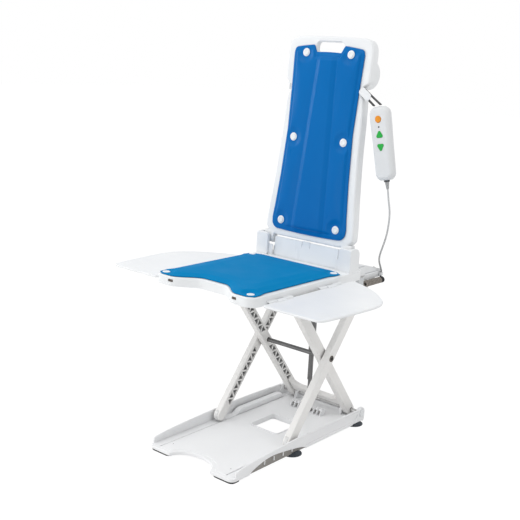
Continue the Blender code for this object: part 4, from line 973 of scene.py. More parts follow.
SCREW_STEEL = DrawnMetal("screw_steel", Slot.STEEL, (0.42, 0.41, 0.4), (0.3, 0.29, 0.28), (300.0, 300.0, 300.0))
DARK_TUBE = DrawnMetal(
    "column_tube", Slot.STEEL, (0.19, 0.188, 0.188), (0.13, 0.13, 0.132), (14.0, 14.0, 1800.0), 0.28, 0.45
)
SHEATH = CordSheath("lead_sheath", Slot.SHEATH, (0.62, 0.625, 0.63), (0.55, 0.555, 0.56))
TAPE = Webbing("black_tape", Slot.BLACK, (0.012, 0.012, 0.013), (0.03, 0.03, 0.032))


@dataclass(frozen=True)
class Stage:
    """The camera, the soft light and the white floor."""

    eye: Point = (1.45734, -1.83762, 1.02223)
    target: Point = (0.0, -0.014, 0.5)
    roll: float = 3.28
    lens: float = 63.56
    shift: Spot = (-0.0253, -0.0090)
    ambient: float = 0.58
    sky: Point = (-0.34, 0.12, 0.933)
    sky_lean: float = 0.45
    key_power: float = 42.0
    lamps: tuple[tuple[str, Point, float, Spot], ...] = (
        ("key", (-1.3, -2.6, 3.3), 1.0, (2.2, 2.2)), ("fill", (1.9, 0.3, 2.2), 0.26, (1.6, 1.6)),
        ("side", (-3.0, -1.15, 1.35), 0.34, (0.3, 1.3)), ("low", (-1.0, -3.0, 0.4), 0.24, (1.3, 1.3)),
    )
    aim: Point = (0.0, 0.0, 0.45)
    floor_half: float = 15.0
    floor_tone: float = 0.85
    floor_glow: float = 1.1
    floor_share: float = 0.86

    def build(self) -> None:
        """Builds the whole stage."""
        scene = bpy.context.scene
        scene.view_settings.view_transform = "Standard"
        self.camera(scene)
        self.light(scene)
        self.floor()
        LOG.info("the stage is set")

    def camera(self, scene: bpy.types.Scene) -> None:
        """Puts the camera at the photograph's angle.

        Args:
            scene: The scene that uses it.
        """
        ahead = (Vector(self.target) - Vector(self.eye)).normalized()
        level = ahead.cross(Vector((0, 0, 1))).normalized()
        upright = level.cross(ahead)
        turn = math.radians(self.roll)
        right = level * math.cos(turn) + upright * math.sin(turn)
        up = upright * math.cos(turn) - level * math.sin(turn)
        data = bpy.data.cameras.new("camera")
        data.lens, data.sensor_width, data.clip_end = self.lens, 36.0, 100.0
        data.shift_x, data.shift_y = self.shift
        camera = bpy.data.objects.new("camera", data)
        camera.matrix_world = Matrix.Translation(self.eye) @ Matrix((right, up, -ahead)).transposed().to_4x4()
        scene.collection.objects.link(camera)
        scene.camera = camera

    def seen(self, graph: Graph) -> Socket:
        """The share of rays that show the white background itself.

        Args:
            graph: The nodes that ask.

        Returns:
            The share, 0 or 1.
        """
        path = graph.add("ShaderNodeLightPath").outputs
        some = graph.math("ADD", path["Is Camera Ray"], path["Is Glossy Ray"])
        return graph.math("MINIMUM", graph.math("ADD", some, path["Is Transmission Ray"]), 1.0)

    def light(self, scene: bpy.types.Scene) -> None:
        """Lights the object with a pale sky that is brighter on one side, and with four lamps.

        Args:
            scene: The scene that is lit.
        """
        world = bpy.data.worlds.new("pale_room")
        world.use_nodes = True
        scene.world = world
        graph = Graph(world.node_tree)
        lean = graph.dot(graph.add("ShaderNodeTexCoord").outputs["Generated"], self.sky)
        soft = graph.math("MULTIPLY_ADD", lean, self.ambient * self.sky_lean, self.ambient)
        strength = graph.spread(self.seen(graph), (0, 1), soft, 1.0)
        graph.feed(world.node_tree.nodes["Background"], {"Color": WHITE_LIGHT, "Strength": strength})
        for name, place, share, size in self.lamps:
            data = bpy.data.lights.new(name, "AREA")
            data.energy, data.shape = self.key_power * share, "RECTANGLE"
            data.size, data.size_y = size
            lamp = bpy.data.objects.new(name, data)
            turn = (Vector(self.aim) - Vector(place)).to_track_quat("-Z", "Y")
            lamp.matrix_world = Matrix.Translation(place) @ turn.to_matrix().to_4x4()
            scene.collection.objects.link(lamp)

    def floor(self) -> None:
        """Lays the white floor, which keeps the object's shadow."""
        half, tone = self.floor_half, self.floor_tone
        corners = [(-half, -half, 0), (half, -half, 0), (half, half, 0), (-half, half, 0)]
        floor = mesh_object("floor", corners, [(0, 1, 2, 3)])
        material = bpy.data.materials.new("white_floor")
        material.use_nodes = True
        graph = Graph(material.node_tree)
        graph.tree.nodes.remove(graph.tree.nodes["Principled BSDF"])
        matt = graph.add("ShaderNodeBsdfDiffuse", {"Color": (tone, tone, tone, 1.0)}).outputs[0]
        glow = graph.add("ShaderNodeEmission", {"Color": WHITE_LIGHT, "Strength": self.floor_glow}).outputs[0]
        pale = graph.math("MULTIPLY", self.seen(graph), self.floor_share)
        mixed = graph.add("ShaderNodeMixShader", {0: pale, 1: matt, 2: glow}).outputs[0]
        graph.feed(graph.tree.nodes["Material Output"], {"Surface": mixed})
        floor.data.materials.append(material)


@dataclass
class Repeat(Graph):
    """A geometry tree under construction: its method for each repeat builds that tree's inside.

    Attributes:
        asked: The tree's inputs.
    """

    asked: bpy.types.NodeOutputs

    def vector(self, **parts: Socket) -> Socket:
        """A vector from some of its parts."""
        return self.add("ShaderNodeCombineXYZ", parts).outputs[0]

    def joined(self, one: Socket, two: Socket) -> Socket:
        """Two shapes as one.

        Args:
            one: The first shape.
            two: The second.

        Returns:
            Both together.
        """
        both = self.add("GeometryNodeJoinGeometry", {"Geometry": one})
        self.feed(both, {0: two})
        return both.outputs[0]

    def spread_out(self, points: Socket, shape: Socket, **turn: Socket | Point) -> Socket:
        """A shape at each point, turned if a Rotation is given."""
        inputs = {"Points": points, "Instance": shape, **turn}
        return self.add("GeometryNodeInstanceOnPoints", inputs).outputs[0]

    def line(self, **sizes: Socket) -> Socket:
        """Points in a line."""
        return self.add("GeometryNodeMeshLine", {k.replace("_", " "): v for k, v in sizes.items()}).outputs[0]

    def prism(self, sides: int, depth: Socket) -> Socket:
        """A prism of the radius that is asked for."""
        sizes = {"Vertices": sides, "Radius": self.asked["Radius"], "Depth": depth}
        return self.add("GeometryNodeMeshCylinder", sizes).outputs["Mesh"]

    def cross_head_screws(self) -> Socket:
        """Cross-head screws at points.

        Returns:
            The instances.
        """
        radius, height = self.asked["Radius"], self.asked["Height"]
        head = self.prism(20, height)
        long, slim = self.math("MULTIPLY", radius, 1.25), self.math("MULTIPLY", radius, 0.26)
        sizes = (self.vector(X=x, Y=y, Z=height) for x, y in ((long, slim), (slim, long)))
        cross = self.joined(*(self.add("GeometryNodeMeshCube", {"Size": size}).outputs["Mesh"] for size in sizes))
        rise = self.vector(Z=self.math("MULTIPLY", height, 0.6))
        tool = self.add("GeometryNodeTransform", {"Geometry": cross, "Translation": rise}).outputs[0]
        cut = self.add("GeometryNodeMeshBoolean", {"Mesh 1": head, "Mesh 2": tool}, operation="DIFFERENCE")
        return self.spread_out(self.asked["Geometry"], cut.outputs[0], Rotation=self.asked["Turn"])

    def triangle_rows(self) -> Socket:
        """Two rows of triangles along Y, pointing at each other and half a pitch apart.

        Returns:
            The instances.
        """
        wedge, step = self.prism(3, self.asked["Depth"]), self.vector(Y=self.asked["Pitch"])
        rows = []
        for sign in (1, -1):
            slide = self.math("MULTIPLY", self.asked["Pitch"], 0.25 * sign)
            first = self.vector(Y=slide, Z=self.math("MULTIPLY", self.asked["Gap"], 0.5 * sign))
            line = self.line(Count=self.asked["Count"], Start_Location=first, Offset=step)
            rows.append(self.spread_out(line, wedge, Rotation=(0.0, sign * math.pi / 2, 0.0)))
        return self.joined(*rows)

    def rib_row(self) -> Socket:
        """A row of equal ribs."""
        rib = self.add("GeometryNodeMeshCube", {"Size": self.asked["Size"]}).outputs["Mesh"]
        return self.spread_out(self.line(Count=self.asked["Count"], Offset=self.asked["Step"]), rib)


def repeated(kind: Callable[[Repeat], Socket], name: str, points: Sequence[Point], **values: object) -> Thing:
    """Runs a repeat on points and keeps its result as a plain mesh; its tree is built on the first use.

    Args:
        kind: The repeat.
        name: The object's name.
        points: The points that it starts from.
        **values: Its inputs.

    Returns:
        The object, without the modifier.
    """
    tree = bpy.data.node_groups.get(kind.__name__)
    if not tree:
        tree = bpy.data.node_groups.new(kind.__name__, "GeometryNodeTree")
        kinds = {int: "Int", float: "Float", tuple: "Vector", Material: "Material"}
        for way in ("INPUT", "OUTPUT"):
            tree.interface.new_socket("Geometry", in_out=way, socket_type="NodeSocketGeometry")
        for label, value in values.items():
            tree.interface.new_socket(label, in_out="INPUT", socket_type=f"NodeSocket{kinds[type(value)]}")
        inside = Repeat(tree, tree.nodes.new("NodeGroupInput").outputs)
        real = inside.add("GeometryNodeRealizeInstances", {"Geometry": kind(inside)}).outputs[0]
        inputs = {"Geometry": real, "Material": inside.asked["Material"]}
        inside.add("NodeGroupOutput", {"Geometry": inside.add("GeometryNodeSetMaterial", inputs).outputs[0]})
    mesh = bpy.data.meshes.new(name)
    mesh.from_pydata([tuple(p) for p in points], [], [])
    thing = linked(name, mesh)
    step = thing.modifiers.new("repeat", "NODES")
    step.node_group = tree
    for item in tree.interface.items_tree:
        if item.in_out == "INPUT" and item.name in values:
            step[item.identifier] = values[item.name]
    return settled(thing)


def screws(
    name: str, points: Sequence[Point], radius: float, height: float, turn: Point, body: Body,
    finish: Finish = SCREW_STEEL,
) -> None:
    """Makes and dresses cross-head screws.

    Args:
        name: The piece's name.
        points: The middles of the heads' undersides.
        radius: The heads' radius.
        height: Their height.
        turn: How the heads are turned from upright.
        body: The body that carries them.
        finish: Their finish.
    """
    values = {"Radius": radius, "Height": height, "Turn": turn, "Material": finish.material()}
    heads = repeated(Repeat.cross_head_screws, name, points, **values)
    dress(polish(heads, 0.0, 30), body, finish)


def rib_row(name: str, start: Point, count: int, step: Point, size: Point, finish: Finish) -> Thing:
    """A row of equal ribs.

    Args:
        name: The object's name.
        start: The middle of the first rib.
        count: How many there are.
        step: The way from one to the next.
        size: A rib's sizes.
        finish: Their finish.

    Returns:
        All the ribs as one mesh.
    """
    values = {"Count": count, "Step": step, "Size": size, "Material": finish.material()}
    thing = repeated(Repeat.rib_row, name, [(0, 0, 0)], **values)
    thing.data.transform(Matrix.Translation(start))
    return thing


def steel_shaft(name: str, end: float, spot: Spot, body: Body, node: str) -> None:
    """Makes and dresses a turned shaft across the lift.

    Args:
        name: The piece's name.
        end: How far it reaches to each side.
        spot: The Y and Z of its axis.
        body: The body that carries it.
        node: The node that it replaces.
    """
    half = [(0.006, end - 0.0008), (0.0052, end)]
    profile = [(r, -x) for r, x in reversed(half)] + half
    dress(polish(lathe(name, profile, spot, Axis.X, 32)), body, STEEL, node)


@dataclass(frozen=True)
class CurlyCord:
    """The hand control's lead and the curls that it ends in, one cord from end to end."""

    radius: float = 0.0025
    curl: float = 0.0065
    curls: int = 13
    curl_points: int = 16
    coil_x: float = 0.154
    coil_span: Spot = (0.1835, 0.2835)
    relief_end: float = -0.1176
    route: tuple[Point, ...] = (
        (0.107, 0.0094, -0.0070), (0.262, 0.0191, -0.0115), (0.495, 0.0114, -0.0057),
        (0.736, -0.0066, -0.0018), (0.823, -0.0091, 0.0014), (0.888, -0.0077, 0.0071),
    )
    foot: tuple[float, ...] = (7.5, 5.5, 2.5, 0.0)
    sides: int = 14

    def curl_path(self) -> list[Point]:
        """The curls from their front end to the end that rises at the rear.

        Returns:
            The path's points.
        """
        start, stop = self.coil_span
        end, level, count = 2 * self.radius, AT.upper_z, self.curls * self.curl_points
        low = start + 2 * end
        points = [(self.coil_x, start, level), (self.coil_x, start + end, level)]
        for k in range(count + 1):
            turn = 2 * math.pi * (self.curls + 0.25) / count * k
            x = self.coil_x - self.curl * math.sin(turn)
            points.append((x, low + (stop - low) * k / count, level - self.curl * math.cos(turn)))
        return points + [(self.coil_x - self.curl, stop, level + end)]

    def lead_path(self, hand: Matrix, last: Vector) -> list[Point]:
        """The hanging lead from the hand control to the curls.

        Args:
            hand: The hand control's frame.
            last: Where the lead reaches the curls.

        Returns:
            The path's points.
        """
        first = hand @ Vector((0, 0, self.relief_end))
        second = hand @ Vector((0, 0, self.relief_end - 4 * self.radius))
        between = [first.lerp(last, share) + Vector((x, y, 0)) for share, x, y in self.route]
        upright = [last + Vector((0, 0, share * self.radius)) for share in self.foot]
        return spline([first, second, *between, *upright], 5)

    def build(self, hand: Matrix, relief: Thing) -> None:
        """Builds the cord, gives it its material and hides the nodes that it replaces.

        Args:
            hand: The hand control's frame.
            relief: The bend relief where the cord leaves it; not used.
        """
        curls = self.curl_path()
        lead = self.lead_path(hand, Vector(curls[-1]) + Vector((0, 0, 0.0003)))
        path = lead + curls[::-1]
        cord = tube_along("hand_control_cord", path, self.radius, self.sides)
        share = np.concatenate((np.linspace(0, 1, len(lead)), np.linspace(1, 2, len(curls))))
        along = cord.data.attributes.new("along", "FLOAT", "POINT")
        along.data.foreach_set("value", np.repeat(share, self.sides).astype(np.float32))
        polish(cord, 0.0, 60)
        cord.data.materials.append(SHEATH.material())
        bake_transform(cord)
        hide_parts("cord_lead", "cord_coil")


@dataclass(frozen=True)
class BaseUnit:
    """The tray on the bath's floor with its rails, rear cheeks, column foot and feet."""

    half: float = 0.144
    ground_gap: float = 0.008
    skirt_low: float = 0.0052
    recess_depth: float = 0.0044
    band_depth: float = 0.0027
    corner: float = 0.016
    lip: float = 0.006
    scoop_half: float = 0.067
    scoop_depth: float = 0.044
    hole_half: float = 0.047
    hole_span: Spot = (-0.0135, 0.0865)
    panel_half: float = 0.1125
    panel_rise: float = 0.001
    panel_gap: float = 0.012
    wall: float = 0.0052
    cup_x: float = 0.128
    cup_radius: float = 0.028
    cup_span: Spot = (-0.0515, 0.2315)
    crest: tuple[Spot, ...] = ((-0.19, 0.0385), (-0.077, 0.0435), (0.05, 0.0462), (0.15, 0.0452))
    band: tuple[Spot, ...] = (
        (-0.010, 0.0090), (0.233, 0.0090), (0.236, 0.0120), (0.236, 0.0285), (0.232, 0.0315), (0.060, 0.0310),
        (0.010, 0.0285), (-0.010, 0.0235),
    )
    arch: tuple[Spot, ...] = (
        (-0.2368, 0.0080), (-0.217, 0.0165), (-0.1795, 0.0262), (-0.1426, 0.0290), (-0.1043, 0.0255),
        (-0.0708, 0.0212), (-0.036, 0.0160), (-0.0072, 0.0080),
    )

    def build(self) -> None:
        """Builds all the base's pieces."""
        self.tray()
        self.feet()
        self.pivot()
        spots = ((0.100, -0.257), (0.118, 0.206))
        points = [(side * x, y, AT.tray_top + 0.0004) for side in SIDES.values() for x, y in spots]
        screws("tray_screws", points, 0.0034, 0.0016, (0.0, 0.0, 0.4), Body.BASE)

    def plan(self) -> Outline:
        """The tray's plan with the scoop in its front edge.

        Returns:
            The closed outline.
        """
        front, rear, half = AT.front, AT.base_rear, self.half
        corner, wide, deep, lip = self.corner, self.scoop_half, self.scoop_depth, self.lip
        scoop = [(wide * math.cos(t), front + deep * math.sin(t)) for t in np.linspace(math.pi, 0, 33).tolist()]
        right = [p for p in scoop if p[1] > front + lip and p[0] >= 0]
        right += arc((wide + lip, front + lip), lip, 180, 270, 4)
        right += arc((half - corner, front + corner), corner, -90, 0, 6)
        right += arc((half - corner, rear - corner), corner, 0, 90, 6) + [(0.0, rear)]
        return mirrored(right)

    def hole(self, grow: float, low: float, high: float) -> Thing:
        """The prism of the hole in the tray, grown all round.

        Args:
            grow: How far it is grown.
            low: Where it starts.
            high: Where it ends.

        Returns:
            The prism.
        """
        start, stop = self.hole_span
        plan = oblong((-self.hole_half - grow, start - grow), (self.hole_half + grow, stop + grow), 0.009 + grow)
        return slab("hole_tool", plan, Axis.Z, low, high)

    def tray(self) -> None:
        """The moulded tray and the dark plates of painted shade in its side recesses."""
        top, inner = AT.tray_top, self.half - self.recess_depth
        floor = slab("floor_plate", self.plan(), Axis.Z, self.skirt_low, top, 0.0016)
        work(floor, Cut.ADD, slab("panel", self.panel_plan(), Axis.Z, top - 0.003, top + self.panel_rise, 0.0007))
        sleeve = self.hole(0.0032, self.ground_gap - 0.0055, top + 0.0028)
        work(sleeve, Cut.TAKE, self.hole(0.0, 0.0, 0.05))
        work(floor, Cut.TAKE, self.hole(0.0028, 0.0, 0.05))
        cups = [(s * self.cup_x, y) for s in SIDES.values() for y in self.cup_span]
        room = [slab("stem_tool", circle(c, 0.0063, 20), Axis.Z, 0.0, top - 0.0015) for c in cups]
        room += [slab("cup_tool", circle(c, self.cup_radius + 0.0008, 36), Axis.Z, 0.0, self.ground_gap) for c in cups]
        for s in SIDES.values():
            room.append(slab("pad_tool", inset(self.pad_plan(s), -0.0004), Axis.Z, 0.0, self.ground_gap))
        for s in SIDES.values():
            near, far = s * (self.panel_half + 0.0004), s * (self.panel_half + 0.0030)
            seam = oblong((near, AT.front + 0.012), (far, AT.base_rear - 0.012), 0.0010, 3)
            room.append(slab("seam", seam, Axis.Z, top - 0.0032, top + 0.01))
            room.append(slab("side_recess", self.recess(0.0), Axis.X, s * inner, s * (self.half + 0.01)))
        work(floor, Cut.TAKE, *room)
        parts = [floor, sleeve, self.rear_wall()]
        for s in SIDES.values():
            parts += [self.rail(s), self.kerb(s), self.cheek(s), self.lug(s), *self.bracket(s)]
        piece("tray", parts, Body.BASE, TRAY_LIT_WHITE, "base_tray", bevel=0.0006, angle=36)
        # Dark plates in the side recesses: painted shade.
        arch = [(y, max(z, self.skirt_low + 0.0004)) for y, z in self.recess(0.0006)]
        shade_plates = [slab("shade_plate", arch, Axis.X, s * (inner - 0.0004), s * (inner + 0.0003)) for s in SIDES.values()]
        piece("recess_shade_plates", shade_plates, Body.BASE, RECESS_SHADE_GREY)

    def pad_plan(self, sign: int) -> Outline:
        """The plan of a front pad, a little behind the tray's own edge."""
        near, far = sign * (self.half - 0.070), sign * (self.half - 0.0028)
        return oblong((near, AT.front + 0.0028), (far, AT.front + 0.038), 0.0125, 6)

    def panel_plan(self) -> Outline:
        """The plan of the raised middle of the tray, which follows the scoop.

        Returns:
            The closed outline.
        """
        front, rear = AT.front + 0.010, AT.base_rear - 0.004
        wide, deep = self.scoop_half + self.panel_gap, self.scoop_depth + self.panel_gap
        angles = np.linspace(math.pi / 2, 0.24, 14).tolist()
        right = [(wide * math.cos(t), AT.front + deep * math.sin(t)) for t in angles]
        right += arc((self.panel_half - 0.008, front + 0.008), 0.008, -90, 0, 5)
        return mirrored(right + [(self.panel_half, rear), (0.0, rear)])

    def rear_wall(self) -> Thing:
        """The low wall at the rear."""
        wall = oblong((-0.1335, AT.base_rear - 0.008), (0.1335, AT.base_rear - 0.0004), 0.002, 2)
        return slab("rear_wall", wall, Axis.Z, AT.tray_top - 0.002, AT.tray_top + 0.012, 0.0015, 2)

    def rail(self, sign: int) -> Thing:
        """A side rail with its arched crest and the long recess in its outer face.

        Args:
            sign: The side's sign.

        Returns:
            The rail.
        """
        floor, out = AT.tray_top - 0.003, self.half + 0.01
        front, rear = AT.front + 0.014, AT.base_rear - 0.012
        crest = [(front, 0.022), (front + 0.012, 0.0312), *self.crest, (rear - 0.006, 0.0418), (rear, 0.037)]
        outline = [(rear, floor), (front, floor), *spline(crest, 6)]
        rail = slab("rail", outline, Axis.X, self.half - self.wall, self.half - 0.0003, 0.0016)
        recess = slab("recess", self.recess(0.0), Axis.X, self.half - self.recess_depth, out)
        work(rail, Cut.TAKE, recess, slab("band", list(self.band), Axis.X, self.half - self.band_depth, out))
        first, size = (self.half - 0.0030, -0.178, 0.0190), (0.0030, 0.0026, 0.011)
        whole = gather("rail_whole", [rail, rib_row("rail_ribs", first, 4, (0, 0.037, 0.0), size, TRAY_LIT_WHITE)])
        if sign < 0:
            whole.data.transform(Matrix.Diagonal((-1, 1, 1, 1)))
            whole.data.flip_normals()
        return whole

    def recess(self, inward: float) -> Outline:
        """The outline of the arched recess low in a rail's outer face, drawn in."""
        return inset([(self.arch[-1][0], 0.0), (self.arch[0][0], 0.0), *spline(self.arch, 6)], inward)

    def kerb(self, sign: int) -> Thing:
        """The raised kerb behind the roller's lane, with a sloping front.

        Args:
            sign: The side's sign.

        Returns:
            The kerb.
        """
        low, high = AT.tray_top - 0.001, 0.0288
        slope = [(-0.006 + 0.040 * t, low + (high - low) * ease(t)) for t in np.linspace(0, 1, 9).tolist()]
        outline = [(0.214, low), *slope, (0.206, high), (0.214, high - 0.008)]
        return slab("kerb", outline, Axis.X, sign * 0.1142, sign * 0.1325, 0.0018)

    def cheek(self, sign: int) -> Thing:
        """The rounded cheek that carries the rear shaft, with a shallow dish in its outer face.

        Args:
            sign: The side's sign.

        Returns:
            The cheek.
        """
        (y, z), foot = AT.rear_pivot, AT.tray_top - 0.002
        outline = arc((y, z), 0.0172, 0, 180, 14) + [(y - 0.030, foot), (y + 0.0165, foot)]
        cheek = slab("cheek", outline, Axis.X, sign * 0.1345, sign * 0.14385, 0.002)
        dish = lathe("dish", [(0.0135, sign * 0.1428), (0.0142, sign * 0.15)], (y, z), Axis.X, 36)
        return work(cheek, Cut.TAKE, dish)

    def lug(self, sign: int) -> Thing:
        """The inner lug beside the inner arm's pivot.

        Args:
            sign: The side's sign.

        Returns:
            The lug.
        """
        y, z = AT.rear_pivot
        outline = arc((y, z), 0.014, 0, 180, 12) + [(y - 0.018, AT.tray_top), (y + 0.014, AT.tray_top)]
        return slab("base_lug", outline, Axis.X, sign * 0.078, sign * 0.0857, 0.0012, 2)

    def bracket(self, sign: int) -> list[Thing]:
        """The ribbed bracket beside the column's foot.

        Args:
            sign: The side's sign.

        Returns:
            Its ribs and its bar.
        """
        y, floor = AT.column_y, AT.tray_top
        outline = [(y - 0.016, floor), (y + 0.012, floor), (y + 0.012, floor + 0.013), (y + 0.004, floor + 0.0195)]
        outline += [(y - 0.006, floor + 0.0195), (y - 0.013, floor + 0.008)]
        parts = []
        for x in (0.026, 0.0387, 0.0515):
            parts.append(slab("bracket_rib", outline, Axis.X, sign * x, sign * (x + 0.0028), 0.0006, 2))
        bar = oblong((y - 0.005, floor + 0.011), (y + 0.009, floor + 0.017), 0.002, 2)
        return parts + [slab("bracket_bar", bar, Axis.X, sign * 0.0262, sign * 0.0541)]

    def feet(self) -> None:
        """The front pads, the suction cups and the blocks in the brackets, whose warm grey is painted shade."""
        y, floor = AT.column_y, AT.tray_top
        block = oblong((y - 0.0025, floor + 0.003), (y + 0.0075, floor + 0.0095), 0.002)
        for side, sign in SIDES.items():
            name = f"front_foot_{side}"
            pad = slab(name, self.pad_plan(sign), Axis.Z, 0.0, self.ground_gap - 0.0003, 0.0016)
            first = (min(sign * (self.half - 0.062), sign * (self.half - 0.008)), AT.front + 0.019, 0.0)
            grooves = rib_row("pad_grooves", first, 7, (0.009, 0, 0), (0.0022, 0.06, 0.0014), PAD_RUBBER)
            dress(polish(work(pad, Cut.TAKE, grooves)), Body.BASE, PAD_RUBBER, f"front_pad_{side}")
            for end, cup_y in zip(("front", "rear"), self.cup_span):
                self.cup(f"{end}_{side}", (sign * self.cup_x, cup_y))
            # The block's warm grey is painted shade between the ribs.
            core = slab(f"bracket_core_{side}", block, Axis.X, sign * 0.0285, sign * 0.0515)
            dress(polish(core, 0.0008), Body.BASE, CORE_SHADE_GREY)

    def cup(self, place: str, centre: Spot) -> None:
        """A suction cup with its lip, dome and stem.

        Args:
            place: Its end and side.
            centre: Its middle.
        """
        top, rim = self.ground_gap - 0.0003, self.cup_radius
        profile = [
            (0.003, 0.0035), (0.012, 0.0030), (0.020, 0.0016), (rim * 0.93, 0.0), (rim - 0.0004, 0.0),
            (rim, 0.0006), (rim - 0.0003, 0.0013), (rim * 0.88, 0.0026), (rim * 0.74, 0.0052), (rim * 0.66, 0.0066),
            (rim * 0.62, top), (0.0061, top), (0.006, AT.tray_top - 0.0018), (0.0052, AT.tray_top - 0.0016),
        ]
        cup = lathe(f"suction_foot_{place}", profile, centre, Axis.Z, 44)
        dress(polish(cup, 0.0, 42), Body.BASE, CUP_RUBBER, f"suction_cup_{place}")

    def pivot(self) -> None:
        """The rear shaft and its white end caps."""
        end = self.half + 0.0003
        steel_shaft("rear_shaft", end, AT.rear_pivot, Body.BASE, "rear_pivot_shaft")
        profile = [(0.0098, 0.1435), (0.0098, end + 0.0018), (0.0088, end + 0.0028), (0.006, end + 0.003)]
        profile += [(0.0055, end + 0.0022), (0.0001, end + 0.0022)]
        for side, sign in SIDES.items():
            cap = lathe(f"shaft_cap_{side}", [(r, sign * x) for r, x in profile], AT.rear_pivot, Axis.X, 32)
            dress(polish(cap, 0.0, 34), Body.BASE, WHITE)


@dataclass(frozen=True)
class Scissor:
    """Both pairs of arms with their axle, cross member and rollers."""

    depth: float = 0.030
    thickness: float = 0.020
    fork: float = 0.0172
    fork_slot: float = 0.0100
    boss: float = 0.022
    roller: float = 0.0165
    roller_width: float = 0.0094
    pocket_pitch: float = 0.0290
    pocket_radius: float = 0.0108
    pocket_depth: float = 0.0062
    row_gap: float = 0.0054
    cross_half: float = 0.0877
    cross_offset: float = 0.030
    cross_size: Spot = (0.018, 0.016)
    cross_sweep: float = 0.032
    cross_tip: float = 0.0032

    def build(self) -> None:
        """Builds all the scissor's pieces."""
        for side, sign in SIDES.items():
            inner, outer = sign * AT.inner_arm, sign * AT.outer_arm
            self.arm(f"inner_arm_{side}", Body.INNER_ARMS, AT.arm_frame(-1), inner, -sign)
            self.arm(f"outer_arm_{side}", Body.OUTER_ARMS, AT.arm_frame(1), outer, -sign)
            self.wheel(f"upper_roller_{side}", Body.UPPER_ROLLERS, inner, (AT.free_y, AT.upper_z))
            self.wheel(f"lower_roller_{side}", Body.LOWER_ROLLERS, outer, (AT.free_y, AT.lower_z))
        self.axle()
        self.cross_member()

    def pockets(self, name: str, start: Point, count: int, radius: float, depth: float) -> Thing:
        """Two rows of triangular prisms along an arm.

        Args:
            name: The object's name.
            start: The middle of the first pair.
            count: How many are in a row.
            radius: A triangle's radius.
            depth: Its depth.

        Returns:
            All the prisms as one mesh.
        """
        values = {"Count": count, "Pitch": self.pocket_pitch, "Radius": radius, "Depth": depth, "Gap": self.row_gap}
        rows = repeated(Repeat.triangle_rows, name, [(0, 0, 0)], **values, Material=POCKET_SHADE_GREY.material())
        rows.data.transform(Matrix.Translation(start))
        return rows

    def arm(self, node: str, body: Body, place: Matrix, x: float, inward: int) -> None:
        """An arm with triangular pockets in its inner face, dark floors of painted shade in them, and a fork at its
        free end.

        Args:
            node: The node that it replaces.
            body: The body that carries it.
            place: The arm's frame.
            x: Its middle.
            inward: The sign of X towards the lift's middle.
        """
        reach, radius, side = AT.arm_length / 2, self.depth / 2, self.thickness / 2
        outline = arc((reach, 0), radius, -90, 90, 14) + arc((-reach, 0), radius, 90, 270, 14)
        arm = slab("arm", outline, Axis.X, x - side, x + side, 0.0028)
        face = x + inward * side
        deep = face - inward * (self.pocket_depth - 0.0008)
        tools, shade_floors = [], []
        for start, stop in ((-reach + self.fork + 0.010, -self.boss), (self.boss, reach - self.boss)):
            count = int((stop - start) / self.pocket_pitch)
            first = (start + stop - (count - 1) * self.pocket_pitch) / 2
            tools.append(self.pockets("pocket", (face, first, 0), count, self.pocket_radius, 2 * self.pocket_depth))
            # Dark grey plates at the pockets' bottoms: painted shade.
            shade_floors.append(self.pockets("floor", (deep, first, 0), count, self.pocket_radius * 0.99, 0.0012))
        fork = circle((-reach, 0), self.fork, 48)
        tools.append(slab("fork_tool", fork, Axis.X, x - self.fork_slot / 2, x + self.fork_slot / 2))
        tools += [slab("bore", circle((y, 0), 0.0068, 28), Axis.X, x - 0.03, x + 0.03) for y in (reach, 0.0)]
        work(arm, Cut.TAKE, *tools)
        collar = [(0.0066, side - 0.001), (0.0122, side - 0.001), (0.0122, side + 0.0007), (0.0112, side + 0.0012)]
        collar = [(r, x + inward * h) for r, h in collar + [(0.0066, side + 0.0012)]]
        rings = [lathe("collar", collar, (y, 0), Axis.X, 32, True) for y in (reach, 0.0)]
        piece(f"{node}_moulding", [arm, *rings], body, ARM_WHITE, node, place=place, angle=34)
        piece(f"{node}_pockets", shade_floors, body, POCKET_SHADE_GREY, place=place)

    def wheel(self, node: str, body: Body, x: float, spot: Spot) -> None:
        """A roller with a dished hub and its stub pins.

        Args:
            node: The node that it replaces.
            body: The body that carries it.
            x: Its middle.
            spot: The Y and Z of its axis.
        """
        half, pin, rim = self.roller_width / 2, self.thickness / 2 - 0.0003, self.roller
        side = [(0.004, pin), (0.004, half + 0.0002), (0.0075, half), (0.0085, half - 0.0014), (0.0125, half - 0.0014)]
        side += [(0.0135, half), (rim - 0.0008, half), (rim, half - 0.0008)]
        profile = [(r, x - h) for r, h in side] + [(r, x + h) for r, h in reversed(side)]
        wheel = lathe(f"{node}_wheel", profile, spot, Axis.X, 44)
        dress(polish(wheel, 0.0, 32), body, ROLLER_GREY, node)

    def axle(self) -> None:
        """The axle through the crossing, its end rings and its screws."""
        end = AT.outer_arm + self.thickness / 2
        shaft = lathe("axle_shaft", [(0.006, -end - 0.0002), (0.006, end + 0.0002)], (0, 0), Axis.X, 32)
        place = AT.arm_frame(-1)
        piece("axle", [shaft], Body.INNER_ARMS, DARK_TUBE, "centre_axle", place=place, bevel=0.0003)
        ring = [(0.0062, end - 0.001), (0.0086, end - 0.001), (0.0086, end + 0.0010), (0.0078, end + 0.0016)]
        ring += [(0.0062, end + 0.0016)]
        for side, sign in SIDES.items():
            profile = [(r, sign * x) for r, x in ring]
            thing = lathe(f"axle_ring_{side}", profile, AT.centre, Axis.X, 32, True)
            dress(polish(thing, 0.0, 34), Body.INNER_ARMS, BROWN_GREY)
            spot, turn = (sign * (end + 0.0006), *AT.centre), (0.0, sign * math.pi / 2, 0.0)
            screws(f"axle_screw_{side}", [spot], 0.0052, 0.0016, turn, Body.INNER_ARMS, DARK_TUBE)

